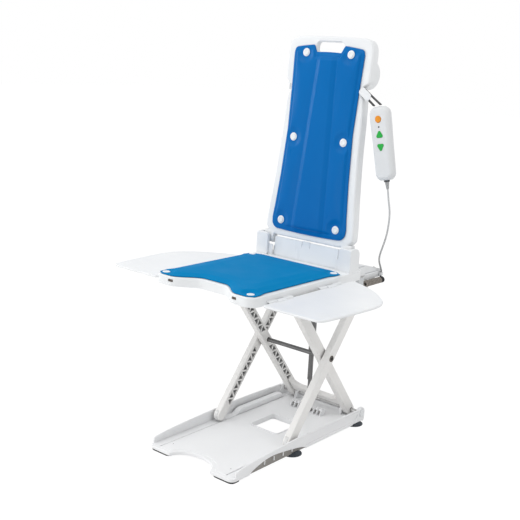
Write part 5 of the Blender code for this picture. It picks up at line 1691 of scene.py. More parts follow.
    def cross_member(self) -> None:
        """The bar between the inner arms with its swept gussets."""
        half, sweep, (width, depth) = self.cross_half, self.cross_sweep, self.cross_size
        rear = AT.arm_length / 2 - self.cross_offset + width / 2
        front = rear - width
        sweep_arc = arc((half - self.cross_tip - sweep, front - sweep), sweep, 0, 90, 10)
        plan = mirrored([(0.0, rear), (half, rear), (half, front - sweep), *sweep_arc, (0.0, front)])
        bar = slab("cross", plan, Axis.Z, -depth / 2, depth / 2, 0.0012)
        dips = []
        for x in (-0.054, -0.027, 0.0, 0.027, 0.054):
            dip = oblong((x - 0.011, front + 0.004), (x + 0.011, rear - 0.004), 0.003)
            dips.append(slab("dip", dip, Axis.Z, depth / 2 - 0.004, depth))
        work(bar, Cut.TAKE, *dips)
        place = AT.arm_frame(-1)
        piece("cross_member", [bar], Body.INNER_ARMS, ARM_WHITE, "inner_cross_member", place=place, angle=34)


@dataclass(frozen=True)
class LiftColumn:
    """The dark telescopic column between the arms."""

    foot_z: float = 0.0193
    step: float = 0.0886975
    tube: float = 0.1086975
    rod: float = 0.0051
    wall: float = 0.0016
    play: float = 0.0005
    foot: Spot = (0.014, 0.004)

    def build(self) -> None:
        """Builds the rod and the tubes, each with a groove near its lower end."""
        wide, tall = self.foot
        low, top, spot = self.foot_z, self.foot_z + self.tube, (0, AT.column_y)
        profile = [(wide - 0.0006, low - tall), (wide, low - tall + 0.0006), (wide, low - 0.0012)]
        profile += [(wide - 0.0012, low), (self.rod, low), (self.rod, top - 0.0008), (self.rod - 0.0008, top)]
        rod = lathe("column_core", profile, spot, Axis.Z, 32)
        dress(polish(rod, 0.0, 34), Body.BASE, DARK_TUBE, "column_rod")
        stages = (
            (Body.COLUMN_FIRST, "column_stage_1"), (Body.COLUMN_SECOND, "column_stage_2"),
            (Body.COLUMN_THIRD, "column_stage_3"), (Body.SEAT, "column_tube"),
        )
        for k, (body, node) in enumerate(stages, start=1):
            bore = self.rod + self.play + (k - 1) * (self.wall + self.play)
            radius = bore + self.wall
            start = self.foot_z + 0.0003 + k * self.step
            stop = start + self.tube
            profile = [
                (bore, start), (radius - 0.0005, start), (radius, start + 0.0005), (radius, start + 0.005),
                (radius - 0.00035, start + 0.0054), (radius - 0.00035, start + 0.0062), (radius, start + 0.0066),
                (radius, stop - 0.0005), (radius - 0.0005, stop), (bore, stop),
            ]
            tube = lathe(f"{node}_tube", profile, spot, Axis.Z, 40, True)
            dress(polish(tube, 0.0, 34), body, DARK_TUBE, node)


@dataclass(frozen=True)
class Pad:
    """A padded cover: a sheet that a cloth simulation fills, with a rolled rim and a flat back.

    Attributes:
        name: The pad's name.
        grid: How many cells it has across and along.
        place: Plane coordinates for u in -1..1 and t in 0..1.
        height: The sheet's height over the plane, for plane coordinates and u and t.
        held: How firmly each point is held, from 0 to 1.
        edge: The height of its rim.
        cap: How far the filling may move a point.
        frames: How many steps the filling takes.
    """

    name: str
    grid: tuple[int, int]
    place: Callable[[Field, Field], tuple[Field, Field]]
    height: Callable[[Field, Field, Field, Field], Field]
    held: Callable[[Field, Field, Field, Field], Field]
    edge: float
    cap: float = 0.0022
    frames: int = 20

    def faces(self, rows: int, columns: int) -> list[tuple[int, int, int, int]]:
        """The faces of a grid with that many points each way."""
        cells = [r * columns + c for r in range(rows - 1) for c in range(columns - 1)]
        return [(k, k + 1, k + columns + 1, k + columns) for k in cells]

    def sheet(self) -> Field:
        """The filled sheet.

        Returns:
            Its points, as rows of columns.
        """
        across, along = self.grid
        u, t = np.meshgrid(np.linspace(-1, 1, across + 1), np.linspace(0, 1, along + 1))
        a, b = self.place(u, t)
        points = np.stack((a, b, self.height(a, b, u, t)), axis=2)
        thing = mesh_object(f"{self.name}_sheet", points.reshape(-1, 3), self.faces(along + 1, across + 1))
        held = thing.vertex_groups.new(name="held")
        for k, weight in enumerate(self.held(a, b, u, t).reshape(-1).tolist()):
            held.add([k], weight, "REPLACE")
        cloth = thing.modifiers.new("filling", "CLOTH")
        cloth.settings.quality = 5
        cloth.settings.mass = 0.15
        cloth.settings.tension_stiffness = cloth.settings.compression_stiffness = 12
        cloth.settings.bending_stiffness = 4
        cloth.settings.use_pressure = True
        cloth.settings.uniform_pressure_force = 4
        cloth.settings.vertex_group_mass = held.name
        cloth.settings.effector_weights.gravity = 0
        cloth.collision_settings.use_collision = False
        cloth.point_cache.frame_end = self.frames
        scene = bpy.context.scene
        for step in range(1, self.frames + 1):
            scene.frame_set(step)
        filled = thing.evaluated_get(bpy.context.evaluated_depsgraph_get()).data
        moved = np.empty(len(filled.vertices) * 3)
        filled.vertices.foreach_get("co", moved)
        scene.frame_set(1)
        bpy.data.objects.remove(thing, do_unlink=True)
        shift = self.evened(moved.reshape(points.shape) - points)
        far = np.maximum(np.linalg.norm(shift, axis=2, keepdims=True), 1e-9)
        return points + shift * np.minimum(1.0, self.cap / far)

    def evened(self, shift: Field) -> Field:
        """The filling's shift, evened out over a few neighbouring cells.

        Args:
            shift: How far each point has moved.

        Returns:
            The smoother shift, still nothing at the rim.
        """
        for _ in range(5):
            for axis in (0, 1):
                rows = np.moveaxis(shift, axis, 0)
                rows[1:-1] = (rows[:-2] + 2 * rows[1:-1] + rows[2:]) / 4
        return shift

    def finer(self, points: Field) -> Field:
        """The sheet with twice the cells each way, on a smooth surface through its points.

        Args:
            points: The coarse sheet.

        Returns:
            The finer sheet.
        """
        for axis in (0, 1):
            rows = np.moveaxis(points, axis, 0)
            padded = np.concatenate((2 * rows[:1] - rows[1:2], rows, 2 * rows[-1:] - rows[-2:-1]))
            middle = (9 * (padded[1:-2] + padded[2:-1]) - padded[:-3] - padded[3:]) / 16
            woven = np.empty((2 * len(rows) - 1, *rows.shape[1:]))
            woven[0::2], woven[1::2] = rows, middle
            points = np.moveaxis(woven, 0, axis)
        return points

    def build(self, lift: Matrix, body: Body, finish: Finish, node: str) -> None:
        """Builds and dresses the closed pad.

        Args:
            lift: Where the pad's plane lies: its X across, its Y along, its Z out of the face.
            body: The body that carries it.
            finish: Its finish.
            node: The node that it replaces.
        """
        points = self.finer(self.sheet())
        rows, columns = points.shape[:2]
        faces: list[tuple[int, ...]] = list(self.faces(rows, columns))
        order = [(0, c) for c in range(columns)] + [(r, columns - 1) for r in range(1, rows)]
        order += [(rows - 1, c) for c in range(columns - 2, -1, -1)] + [(r, 0) for r in range(rows - 2, 0, -1)]
        rim = np.array([points[r, c] for r, c in order])
        ahead = np.roll(rim, -1, axis=0) - np.roll(rim, 1, axis=0)
        outward = np.stack((ahead[:, 1], -ahead[:, 0], np.zeros(len(rim))), axis=1)
        outward /= np.maximum(np.linalg.norm(outward, axis=1, keepdims=True), 1e-9)
        verts, count = points.reshape(-1, 3), len(rim)
        last = [r * columns + c for r, c in order]
        bulge = self.edge * 0.42
        for turn in (50, 90, 130, 180):
            share = math.radians(turn)
            ring = rim + outward * bulge * math.sin(share)
            ring[:, 2] = rim[:, 2] * (1 + math.cos(share)) / 2
            here = list(range(len(verts), len(verts) + count))
            verts = np.concatenate((verts, ring))
            faces += [(last[k], here[k], here[(k + 1) % count], last[(k + 1) % count]) for k in range(count)]
            last = here
        faces.append(tuple(reversed(last)))
        cover = mesh_object(self.name, verts.tolist(), faces)
        cover.data.transform(lift)
        polish(cover, 0.0, 75)
        dress(cover, body, finish, node)


@dataclass(frozen=True)
class SeatUnit:
    """The seat plate, its deck, posts and housing, and the blue seat cover."""

    plate: float = 0.005
    wall: float = 0.004
    skirt: float = 0.024
    corner: float = 0.028
    scallop_half: float = 0.109
    scallop_ramp: float = 0.0755
    scallop_depth: float = 0.040
    body_rear: float = 0.210
    deck_plate: float = 0.0045
    hinge_out: float = 0.0055
    hinge_drop: float = 0.018
    knuckle: float = 0.030
    knuckle_radius: float = 0.005
    flap_hinges: Spot = (-0.18797, 0.011866)
    post_crown: float = 0.018
    post_depth: float = 0.024
    panel_half: float = 0.1078
    panel_plate: float = 0.004
    housing_run: float = 0.135
    peg_x: float = 0.139
    peg_ys: Spot = (-0.263, 0.067)
    peg_radius: float = 0.0095
    cover_gap: float = 0.0003
    cover_front: float = -0.2775
    cover_rear: float = 0.0825
    cover_reach: float = 0.1545
    cover_edge: float = 0.0040
    cover_crown: float = 0.0050
    cover_rim: float = 0.024
    cover_scallop: float = 0.046
    cover_waist: float = 0.040

    def build(self) -> None:
        """Builds all the seat's pieces."""
        self.seat_plate()
        self.lower_panel()
        self.rear_housing()
        self.cover()
        self.pegs()
        self.windows()
        self.small_parts()

    def scallop(self, x: Field | float, depth: float) -> Field | float:
        """How far the front is drawn back at a distance from the middle."""
        return depth * ease((self.scallop_half - np.abs(x)) / self.scallop_ramp)

    def plan(self) -> Outline:
        """The seat plate's plan.

        Returns:
            The closed outline.
        """
        front, half, corner = AT.seat_front, AT.seat_half, self.corner
        steps = np.linspace(0, self.scallop_half, 28).tolist()
        right = [(x, front + float(self.scallop(x, self.scallop_depth))) for x in steps]
        right += arc((half - corner, front + corner), corner, -90, 0, 10)
        right += spline([(half, 0.146), (half, 0.156), (0.153, 0.170), (AT.deck_half, 0.184)], 4)
        return mirrored(right + [(AT.deck_half, self.body_rear), (0.0, self.body_rear)])

    def hollow_tray(self, name: str, plan: Outline, top: float, plate: float, low: float, edge: float) -> Thing:
        """A plate with a rounded rim and a skirt, open below.

        Args:
            name: The object's name.
            plan: Its outline.
            top: Its upper face.
            plate: The plate's thickness.
            low: The skirt's lower edge.
            edge: The rim's radius.

        Returns:
            The tray.
        """
        rows = [(drawn, top - drop) for drawn, drop in rounded(plan, edge, 4)]
        hollow = inset(plan, self.wall)
        rows += [(plan, low + 0.0006), (inset(plan, 0.0006), low), (hollow, low), (hollow, top - plate)]
        return loft(name, [[(a, b, z) for a, b in drawn] for drawn, z in rows])

    def seat_plate(self) -> None:
        """The seat plate with its deck, posts, tracks, lugs, knuckles and underside ribs."""
        top, deck, half = AT.seat_top, AT.deck_top, AT.deck_half
        seat = self.hollow_tray("seat_body", self.plan(), top, self.plate, top - self.skirt, 0.0032)
        deck_plan = oblong((-half, self.body_rear - 0.002), (half, AT.seat_rear), 0.006)
        work(seat, Cut.ADD, self.hollow_tray("deck_body", deck_plan, deck, self.deck_plate, deck - 0.016, 0.0015))
        half -= self.wall
        throat = oblong((-half, self.body_rear - 0.006), (half, self.body_rear + 0.008), 0.001)
        tools = [slab("throat", throat, Axis.Z, deck - 0.03, deck - self.deck_plate)]
        tools.append(slab("column_hole", circle((0, AT.column_y), 0.0141, 36), Axis.Z, deck, top + 0.02))
        for sign in SIDES.values():
            slot = oblong((sign * 0.0970, top - 0.0132), (sign * 0.1125, top - 0.0062), 0.002)
            tools.append(slab("window", slot, Axis.Y, AT.seat_front - 0.01, AT.seat_front + 0.0022))
        work(seat, Cut.TAKE, *tools)
        parts = [seat, *self.ribs()]
        for sign in SIDES.values():
            parts += [self.track(sign), self.lug(sign), self.post(sign), *self.knuckles(sign)]
        piece("seat_moulding", parts, Body.SEAT, WHITE, "seat_plate", bevel=0.0005, angle=36)

    def ribs(self) -> list[Thing]:
        """The ribs under the seat plate, trimmed to its hollow.

        Returns:
            The ribs across and along it.
        """
        under, tall = AT.seat_top - self.plate, 0.0100
        level = under - 0.0048
        rows = (
            ((0.0, -0.205, level), 6, (0.0, 0.068, 0.0), (0.40, 0.0022, tall)),
            ((-0.125, -0.02, level), 6, (0.05, 0.0, 0.0), (0.0022, 0.60, tall)),
        )
        trimmed = []
        for k, row in enumerate(rows):
            inside = inset(self.plan(), self.wall - 0.0004)
            room = slab("seat_room", inside, Axis.Z, AT.seat_top - 0.03, under + 0.0004)
            trimmed.append(work(rib_row(f"seat_ribs_{k}", *row, WHITE), Cut.KEEP, room))
        return trimmed

    def track(self, sign: int) -> Thing:
        """The track that an upper roller runs under."""
        plan = oblong((sign * (AT.inner_arm - 0.006), -0.2658), (sign * (AT.inner_arm + 0.006), -0.0377), 0.001, 2)
        return slab("track", plan, Axis.Z, AT.upper_z + 0.0168, AT.seat_top - 0.003)

    def lug(self, sign: int) -> Thing:
        """The lug that holds an end of the upper shaft.

        Args:
            sign: The side's sign.

        Returns:
            The lug.
        """
        (y, z), root = AT.upper_pivot, AT.deck_top - 0.003
        outline = arc((y, z), 0.014, 180, 360, 14) + [(y + 0.018, root), (y - 0.018, root)]
        return slab("seat_lug", outline, Axis.X, sign * 0.1346, sign * 0.1422, 0.001, 2)

    def post(self, sign: int) -> Thing:
        """A hinge post: a D-shaped cheek and a front wall that turns in from it.

        Args:
            sign: The side's sign.

        Returns:
            The post.
        """
        y, z, crown = AT.hinge_y, AT.hinge_z, self.post_crown
        front, low = y - self.post_depth, AT.seat_top - 0.0025
        shape = [(front, low), (y + crown, low), *arc((y, z), crown, 0, 90, 10)]
        shape += arc((front + 0.006, z + crown - 0.006), 0.006, 90, 180, 5)
        cheek = slab("post_cheek", shape, Axis.X, sign * 0.150, sign * 0.1612, 0.0024)
        wall = oblong((sign * 0.1612, low), (sign * 0.1205, z + crown - 0.0004), 0.009, 6)
        face = slab("post_face", wall, Axis.Y, front + 0.0002, front + 0.0108, 0.0022)
        web = signed(sign, oblong((0.1086, low), (0.1240, z - 0.0136), 0.0012, 2))
        return work(cheek, Cut.ADD, face, slab("post_web", web, Axis.Y, front + 0.0060, front + 0.0100))

    def knuckles(self, sign: int) -> list[Thing]:
        """The seat's halves of the flap hinges.

        Args:
            sign: The side's sign.

        Returns:
            The knuckles.
        """
        x, z, radius = AT.seat_half + self.hinge_out, AT.seat_top - self.hinge_drop, self.knuckle_radius
        root, near, far = AT.seat_half - 0.0025, self.knuckle / 2 + 0.0005, 1.5 * self.knuckle
        outline = signed(sign, arc((x, z), radius, -90, 90, 12) + [(root, z + radius), (root, z - radius)])
        spans = [(y + low, y + high) for y in self.flap_hinges for low, high in ((-far, -near), (near, far))]
        return [slab("knuckle", outline, Axis.Y, low, high, 0.0006, 2) for low, high in spans]

    def lower_panel(self) -> None:
        """The panel between the posts, with a latch tongue at its upper edge."""
        low, high = AT.seat_top + 0.0003, AT.hinge_z + 0.00864
        lean, thick = math.tan(AT.back_tilt), self.panel_plate
        start = AT.hinge_y - 0.006 / math.cos(AT.back_tilt)
        foot, head = (start + (z - AT.hinge_z) * lean for z in (low, high))
        outline = [(foot, low), (foot + thick, low), (head + thick, high), (head, high)]
        panel = slab("panel", outline, Axis.X, -self.panel_half, self.panel_half)
        slits = []
        for x in (-0.0135, 0.0135):
            slit = oblong((x - 0.0007, high - 0.015), (x + 0.0007, high + 0.01), 0.0004, 2)
            slits.append(slab("slit", slit, Axis.Y, AT.hinge_y - 0.03, AT.hinge_y + 0.03))
        work(panel, Cut.TAKE, *slits)
        tongue = oblong((head - 0.0008, high - 0.012), (head + 0.0036, high + 0.0018), 0.0012)
        latch = slab("latch", tongue, Axis.X, -0.0118, 0.0118)
        piece("lower_back_panel", [panel, latch], Body.SEAT, PANEL_WHITE, "lower_panel", bevel=0.0009)

    def rear_housing(self) -> None:
        """The housing over the deck, with its screws."""
        dress(refined("rear_housing", 0.0022, "drive_housing"), Body.SEAT, WHITE, "rear_housing")
        top, rear, run = AT.seat_top + 0.017, AT.deck_top + 0.004, self.housing_run
        spots = [(x, y) for x in (-0.122, 0.122) for y in (0.166, 0.286)]
        points = [(x, y, top + (rear - top) * (y - 0.158) / run + 0.0003) for x, y in spots]
        lean = -math.atan((top - rear) / run)
        screws("housing_screws", points, 0.0036, 0.0016, (lean, 0.0, 0.0), Body.SEAT)

    def cover(self) -> None:
        """The blue seat cover with ears at its corners and a scalloped front."""
        front, rear, reach, rim = self.cover_front, self.cover_rear, self.cover_reach, self.cover_rim
        length = rear - front

        def place(u: Field, t: Field) -> tuple[Field, Field]:
            """Where the sheet's points lie in the plane.

            Args:
                u: Their places across, from -1 to 1.
                t: Their places along, from 0 to 1.

            Returns:
                The plane coordinates.
            """
            corner = ease((np.abs(u) - 0.84) / 0.16)
            start = front + self.scallop(u * reach, self.cover_scallop) + 0.010 * corner**2
            stop = rear - 0.012 * corner**2
            b = start + t * (stop - start)
            waist = self.cover_waist * ease((np.minimum(b - front, rear - b) - 0.026) / 0.030)
            return u * reach * (1 - waist), b

        def margin(u: Field, t: Field) -> Field:
            """How far a point is from the sheet's edge."""
            return np.minimum((1 - np.abs(u)) * reach, np.minimum(t, 1 - t) * length)

        def ears(a: Field, b: Field) -> Field:
            """How far a point is from the nearest peg."""
            return np.min([np.hypot(np.abs(a) - self.peg_x, b - y) for y in self.peg_ys], axis=0)

        def height(a: Field, b: Field, u: Field, t: Field) -> Field:
            """How high the sheet stands over the plate.

            Args:
                a: The points' first plane coordinates.
                b: Their second ones.
                u: Their places across.
                t: Their places along.

            Returns:
                The heights.
            """
            full = ease(margin(u, t) / rim) * ease((ears(a, b) - 0.015) / 0.014)
            fold = 0.0011 * np.exp(-(((b - rear + 0.036) / 0.0032) ** 2)) * ease(margin(u, t) / 0.006)
            ear = 1 - 0.35 * (1 - ease((ears(a, b) - 0.013) / 0.014))
            return (self.cover_edge + self.cover_crown * full - fold) * ear

        def held(a: Field, b: Field, u: Field, t: Field) -> Field:
            """How firmly a point is held."""
            rim_hold = 1 - ease((margin(u, t) - 0.003) / 0.010)
            return np.maximum(rim_hold, 1 - ease((ears(a, b) - 0.016) / 0.012))

        pad = Pad("seat_cover_pad", (92, 100), place, height, held, self.cover_edge)
        lift = Matrix.Translation((0, 0, AT.seat_top + self.cover_gap))
        pad.build(lift, Body.SEAT, SEAT_BLUE, "seat_cover")

    def pegs(self) -> None:
        """The round pegs through the cover's ears."""
        wide, under = self.peg_radius, AT.seat_top + self.cover_gap + self.cover_edge * 0.65 - 0.0006
        profile = [
            (0.003, AT.seat_top - self.plate), (0.003, under), (wide - 0.0005, under), (wide, under + 0.0006),
            (wide - 0.0003, under + 0.0014), (wide - 0.0012, under + 0.0019), (wide * 0.62, under + 0.0021),
            (wide * 0.56, under + 0.0015), (0.0001, under + 0.0014),
        ]
        for side, sign in SIDES.items():
            for end, y in zip(("front", "rear"), self.peg_ys):
                peg = lathe(f"cover_button_{end}_{side}", profile, (sign * self.peg_x, y), Axis.Z, 36)
                dress(polish(peg, 0.0, 34), Body.SEAT, WHITE, f"cover_peg_{end}_{side}")

    def windows(self) -> None:
        """The dark plates of painted shade in the front skirt's windows, and the screws near the front corners."""
        top, front, slot_shades = AT.seat_top, AT.seat_front, []
        # Each window holds a dark plate of painted shade.
        for sign in SIDES.values():
            slot = oblong((sign * 0.0978, top - 0.0126), (sign * 0.1117, top - 0.0068), 0.0015)
            slot_shades.append(slab("slot", slot, Axis.Y, front + 0.0012, front + 0.0026, 0.0003, 2))
        piece("skirt_slot_shades", slot_shades, Body.SEAT, BROWN_GREY)
        points = [(sign * 0.1545, -0.247, top + 0.0003) for sign in SIDES.values()]
        screws("seat_screws", points, 0.0026, 0.0014, (0.0, 0.0, 0.3), Body.SEAT)

    def small_parts(self) -> None:
        """The socket and clip of the cord, the upper shaft, the pins and the hidden drive."""
        dress(refined("cord_socket", 0.0014, "curl_socket"), Body.SEAT, HOUSING_GREY, "cord_socket")
        dress(refined("cord_clip", 0.0010, "lead_clip"), Body.SEAT, WHITE, "cord_clip")
        steel_shaft("upper_shaft", AT.deck_half - 0.0003, AT.upper_pivot, Body.SEAT, "upper_pivot_shaft")
        for side in SIDES:
            repaint(f"flap_pin_{side}", STEEL)
        repaint("drive_unit", DARK_GREY)


@dataclass(frozen=True)
class SideFlap:
    """A side flap with its hinge knuckles."""

    reach: float = 0.1815
    plate: float = 0.006
    edge_out: float = 0.0065
    length: float = 0.366
    front: float = -0.263
    edge: tuple[Spot, ...] = (
        (0.788, 0.0), (0.888, 0.0135), (0.932, 0.068), (0.968, 0.254), (1.0, 0.49), (0.987, 0.60),
        (0.93, 0.682), (0.86, 0.730), (0.65, 0.832), (0.40, 0.918), (0.20, 0.962), (0.0882, 0.988),
    )

    def build(self, seat: SeatUnit) -> None:
        """Builds both flaps.

        Args:
            seat: The seat, whose hinges they share.
        """
        hinge, level = AT.seat_half + seat.hinge_out, AT.seat_top - seat.hinge_drop
        inner, half, front = hinge + self.edge_out, self.plate / 2, self.front
        rim = spline([(inner + self.reach * a, front + self.length * b) for a, b in self.edge], 8)
        plan = [(inner, front + 0.004), (inner + 0.004, front), *rim, (inner, front + self.length - 0.002)]
        web = inner + half
        arm = arc((hinge, level), seat.knuckle_radius, 90, 270, 12) + [(web, level - 0.0026), (web, level + 0.0026)]
        for (side, sign), body in zip(SIDES.items(), (Body.LEFT_FLAP, Body.RIGHT_FLAP)):
            flap = slab("flap", signed(sign, plan), Axis.Z, level - half, level + half, 0.0027, 4)
            grooves, parts = [], [flap]
            for y in seat.flap_hinges:
                slot = oblong((sign * (inner + 0.0045), y - 0.034), (sign * (inner + 0.0085), y + 0.034), 0.0018)
                grooves.append(slab("groove", slot, Axis.Z, level + half - 0.0009, level + 0.02))
                low, high = y - seat.knuckle / 2, y + seat.knuckle / 2
                parts.append(slab("flap_knuckle", signed(sign, arm), Axis.Y, low, high, 0.0006, 2))
            work(flap, Cut.TAKE, *grooves)
            piece(f"side_flap_{side}", parts, body, WHITE, f"flap_{side}", angle=40)


@dataclass(frozen=True)
class BackUnit:
    """The reclining back: its shell, handle slot, grips, hinge lugs, strap hook and blue cover."""

    front: float = -0.006
    bottom: float = 0.012
    height: float = 0.5485
    width: float = 0.293
    depth: float = 0.026
    plate: float = 0.006
    wall: float = 0.004
    edge: float = 0.0055
    side: tuple[Spot, ...] = (
        (0.047, 0.0), (0.021, 0.007), (0.005, 0.031), (0.0, 0.069), (0.008, 0.247), (0.015, 0.429),
        (0.0185, 0.612), (0.022, 0.703), (0.029, 0.730), (0.030, 0.754), (0.022, 0.772), (0.0125, 0.787),
        (0.010, 0.818), (0.0095, 0.905), (0.0115, 0.951), (0.021, 0.982), (0.041, 0.996),
    )
    slot_half: float = 0.043
    slot_height: float = 0.028
    slot_drop: float = 0.030
    grip: Point = (0.1095, 0.1335, 0.4685)
    grip_size: Spot = (0.048, 0.040)
    lug_radius: float = 0.011
    cover_gap: float = 0.0003
    cover_top: float = 0.0245
    cover_bottom: float = 0.018
    cover_edge: float = 0.0034
    cover_crown: float = 0.0050
    cover_rim: float = 0.022
    cover_dip: float = 0.0195
    cover_corners: Spot = (0.027, 0.013)
    cover_bows: Spot = (0.004, 0.010)
    cover_middle: float = 0.0040
    cover_slope: float = 0.014
    cover_side: tuple[Spot, ...] = (
        (0.020, 0.0), (0.027, 0.12), (0.0345, 0.30), (0.0405, 0.55), (0.037, 0.80), (0.033, 1.0),
    )
    channel_halves: Spot = (0.048, 0.023)
    plugs: tuple[tuple[str, float, float], ...] = (
        ("low", 0.0541, 0.0822), ("middle", 0.0639, 0.5016), ("high", 0.0739, 0.9154),
    )
    dimple: float = 0.0195
    dimple_level: float = 0.0040

    @property
    def top(self) -> float:
        """The shell's upper edge in the back's own frame."""
        return self.bottom + self.height

    def build(self) -> None:
        """Builds all the back's pieces."""
        self.shell()
        self.cover()
        self.buttons()
        for side in SIDES:
            repaint(f"back_hinge_pin_{side}", STEEL)

    def outline(self) -> Outline:
        """The shell's outline across and up the back."""
        side = [(self.width / 2 - a, self.bottom + self.height * b) for a, b in self.side]
        return mirrored([(0.0, self.bottom), *spline(side, 5), (0.0, self.top)])

    def slot_plan(self, grow: float) -> Outline:
        """The handle slot's outline, grown all round.

        Args:
            grow: How far it is grown.

        Returns:
            The closed outline.
        """
        low = self.top - self.slot_drop - self.slot_height / 2
        wide, high = self.slot_half + grow, low + self.slot_height + grow
        return oblong((-wide, low - grow), (wide, high), 0.0105 + grow, 8)

    def shell(self) -> None:
        """The white shell with its rear ribs, slot sleeve, grips, lugs and strap hook."""
        outline, front, rear = self.outline(), self.front, self.front + self.depth
        hollow = inset(outline, self.wall)
        rows = [(drawn, front + drop) for drawn, drop in rounded(outline, self.edge, 5)]
        rows += [(outline, rear - 0.001), (inset(outline, 0.001), rear), (hollow, rear), (hollow, front + self.plate)]
        shell = loft("shell", [[(a, y, b) for a, b in drawn] for drawn, y in rows])
        flare = [(0.0042, front - 0.001), (0.0016, front + 0.0014), (0.0004, front + 0.004), (0.0, front + 0.03)]
        work(shell, Cut.TAKE, loft("slot", [[(a, y, b) for a, b in self.slot_plan(grow)] for grow, y in flare]))
        sleeve = slab("sleeve", self.slot_plan(0.0030), Axis.Y, front + 0.004, front + 0.013, 0.0008, 2)
        work(sleeve, Cut.TAKE, slab("slot_core", self.slot_plan(0.0), Axis.Y, -0.05, 0.05))
        parts = [shell, sleeve, *self.ribs(hollow)]
        for sign in SIDES.values():
            parts += [self.handgrip(sign), self.lug(sign)]
        piece("back_moulding", parts, Body.BACKREST, WHITE, "back_shell", place=AT.back_frame)
        piece("strap_hook", self.hook(), Body.BACKREST, WHITE)
        tab = oblong((-0.1235, 0.4130), (-0.1150, 0.4300), 0.0025)
        clip = slab("notch_tab", tab, Axis.Y, front + 0.003, front + 0.018, 0.001, 2)
        piece("notch_clip", [clip], Body.BACKREST, HOUSING_GREY, place=AT.back_frame)

    def ribs(self, hollow: Outline) -> list[Thing]:
        """The ribs behind the shell's face, trimmed to its hollow.

        Args:
            hollow: The hollow's outline.

        Returns:
            The upright and the level ribs.
        """
        y, deep = self.front + self.plate + 0.0052, 0.0112
        rows = (
            ((-0.0925, y, 0.27), 6, (0.037, 0.0, 0.0), (0.0024, deep, 0.9)),
            ((0.0, y, 0.060), 8, (0.0, 0.0, 0.0575), (0.6, deep, 0.0024)),
        )
        trimmed = []
        for k, row in enumerate(rows):
            room = slab("back_room", inset(hollow, -0.0004), Axis.Y, -0.0006, 0.05)
            ribs = work(rib_row(f"back_ribs_{k}", *row, WHITE), Cut.KEEP, room)
            trimmed.append(work(ribs, Cut.TAKE, slab("slot", self.slot_plan(0.001), Axis.Y, -0.05, 0.05)))
        return trimmed

    def handgrip(self, sign: int) -> Thing:
        """The rounded grip behind a shoulder, hollowed for the fingers.

        Args:
            sign: The side's sign.

        Returns:
            The grip.
        """
        inner, outer, middle = self.grip
        start, (deep, tall) = self.front + 0.006, self.grip_size
        shape = [(start + deep * a, middle + tall * b) for a, b in arc((0, 0), 1, -90, 90, 20)]
        grip = slab("grip", shape, Axis.X, sign * inner, sign * outer, 0.0055, 4)
        hole = [(start + 0.024 + deep * 0.42 * a, middle + tall * 0.60 * b) for a, b in circle((-0.1, 0), 1, 28)]
        dip = slab("grip_dip", hole, Axis.X, sign * (inner - 0.01), sign * (inner + 0.008), 0.003)
        return work(grip, Cut.TAKE, dip)

    def lug(self, sign: int) -> Thing:
        """A hinge lug under the shell.

        Args:
            sign: The side's sign.

        Returns:
            The lug.
        """
        radius = self.lug_radius
        shape = arc((0, 0), radius, 180, 360, 14) + [(radius, 0.023), (-radius / 2, 0.023)]
        return slab("back_lug", shape, Axis.X, sign * 0.1145, sign * 0.1472, 0.0012, 2)

    def hook(self) -> list[Thing]:
        """The hook under the right shoulder: a tab and a forward peg, in the shared frame.

        Returns:
            Both parts.
        """
        x, y, z = AT.strap_peg
        around, wide, front = 0.0072, AT.peg_radius, y - 0.0048
        tab = oblong((0.1155, z - around), (x + around, z + around), 0.0045)
        plate = slab("hook_tab", tab, Axis.Y, y + 0.0048, y + 0.0088, 0.001, 2)
        profile = [(wide, y + 0.007), (wide, front), (wide * 1.5 - 0.0004, front), (wide * 1.5, front - 0.0005)]
        profile += [(wide * 1.5 - 0.0002, front - 0.0016), (wide * 1.1, front - 0.002), (0.0001, front - 0.0021)]
        return [plate, lathe("hook_peg", profile, (x, z), Axis.Y, 28)]

    def plug_spots(self) -> dict[str, Spot]:
        """The plugs' places across and up the back, by their names.

        Returns:
            Each plug's place.
        """
        spots = {}
        for name, inward, share in self.plugs:
            for side, sign in SIDES.items():
                spots[f"{name}_{side}"] = (sign * (self.width / 2 - inward), self.bottom + share * self.height)
        return spots

    def cover(self) -> None:
        """The blue back cover with two channels, six dimples and a recess under the slot."""
        bottom, top = self.bottom + self.cover_bottom, self.top - self.cover_top
        span, half = top - bottom, self.width / 2
        insets, levels = zip(*self.cover_side)
        plugs = list(self.plug_spots().values())

        def place(u: Field, t: Field) -> tuple[Field, Field]:
            """Where the sheet's points lie in the plane.

            Args:
                u: Their places across, from -1 to 1.
                t: Their places along, from 0 to 1.

            Returns:
                The plane coordinates.
            """
            across = np.abs(u)
            foot, head = (r - np.sqrt(r**2 - np.clip((across - 1) * half + r, 0, r) ** 2) for r in self.cover_corners)
            dip = self.cover_dip * ease((0.46 - across) / 0.12)
            low, high = (bow * across**2 for bow in self.cover_bows)
            start = bottom + low + foot
            b = start + t * (top - dip - high - head - start)
            return u * (half - np.interp((b - bottom) / span, levels, insets)), b

        def margin(u: Field, t: Field) -> Field:
            """How far a point is from the sheet's edge."""
            return np.minimum((1 - np.abs(u)) * half, np.minimum(t, 1 - t) * span)

        def dimples(a: Field, b: Field) -> Field:
            """How far a point is from the nearest plug."""
            return np.min([np.hypot(a - x, b - z) for x, z in plugs], axis=0)

        def line(b: Field) -> Field:
            """How far the channels are from the middle."""
            return np.interp(b, (bottom, top), self.channel_halves)

        def channel(a: Field, b: Field, beside: float, width: float) -> Field:
            """A ridge of 1 along each channel, or beside it."""
            return np.exp(-(((np.abs(a) - line(b) - beside) / width) ** 2))

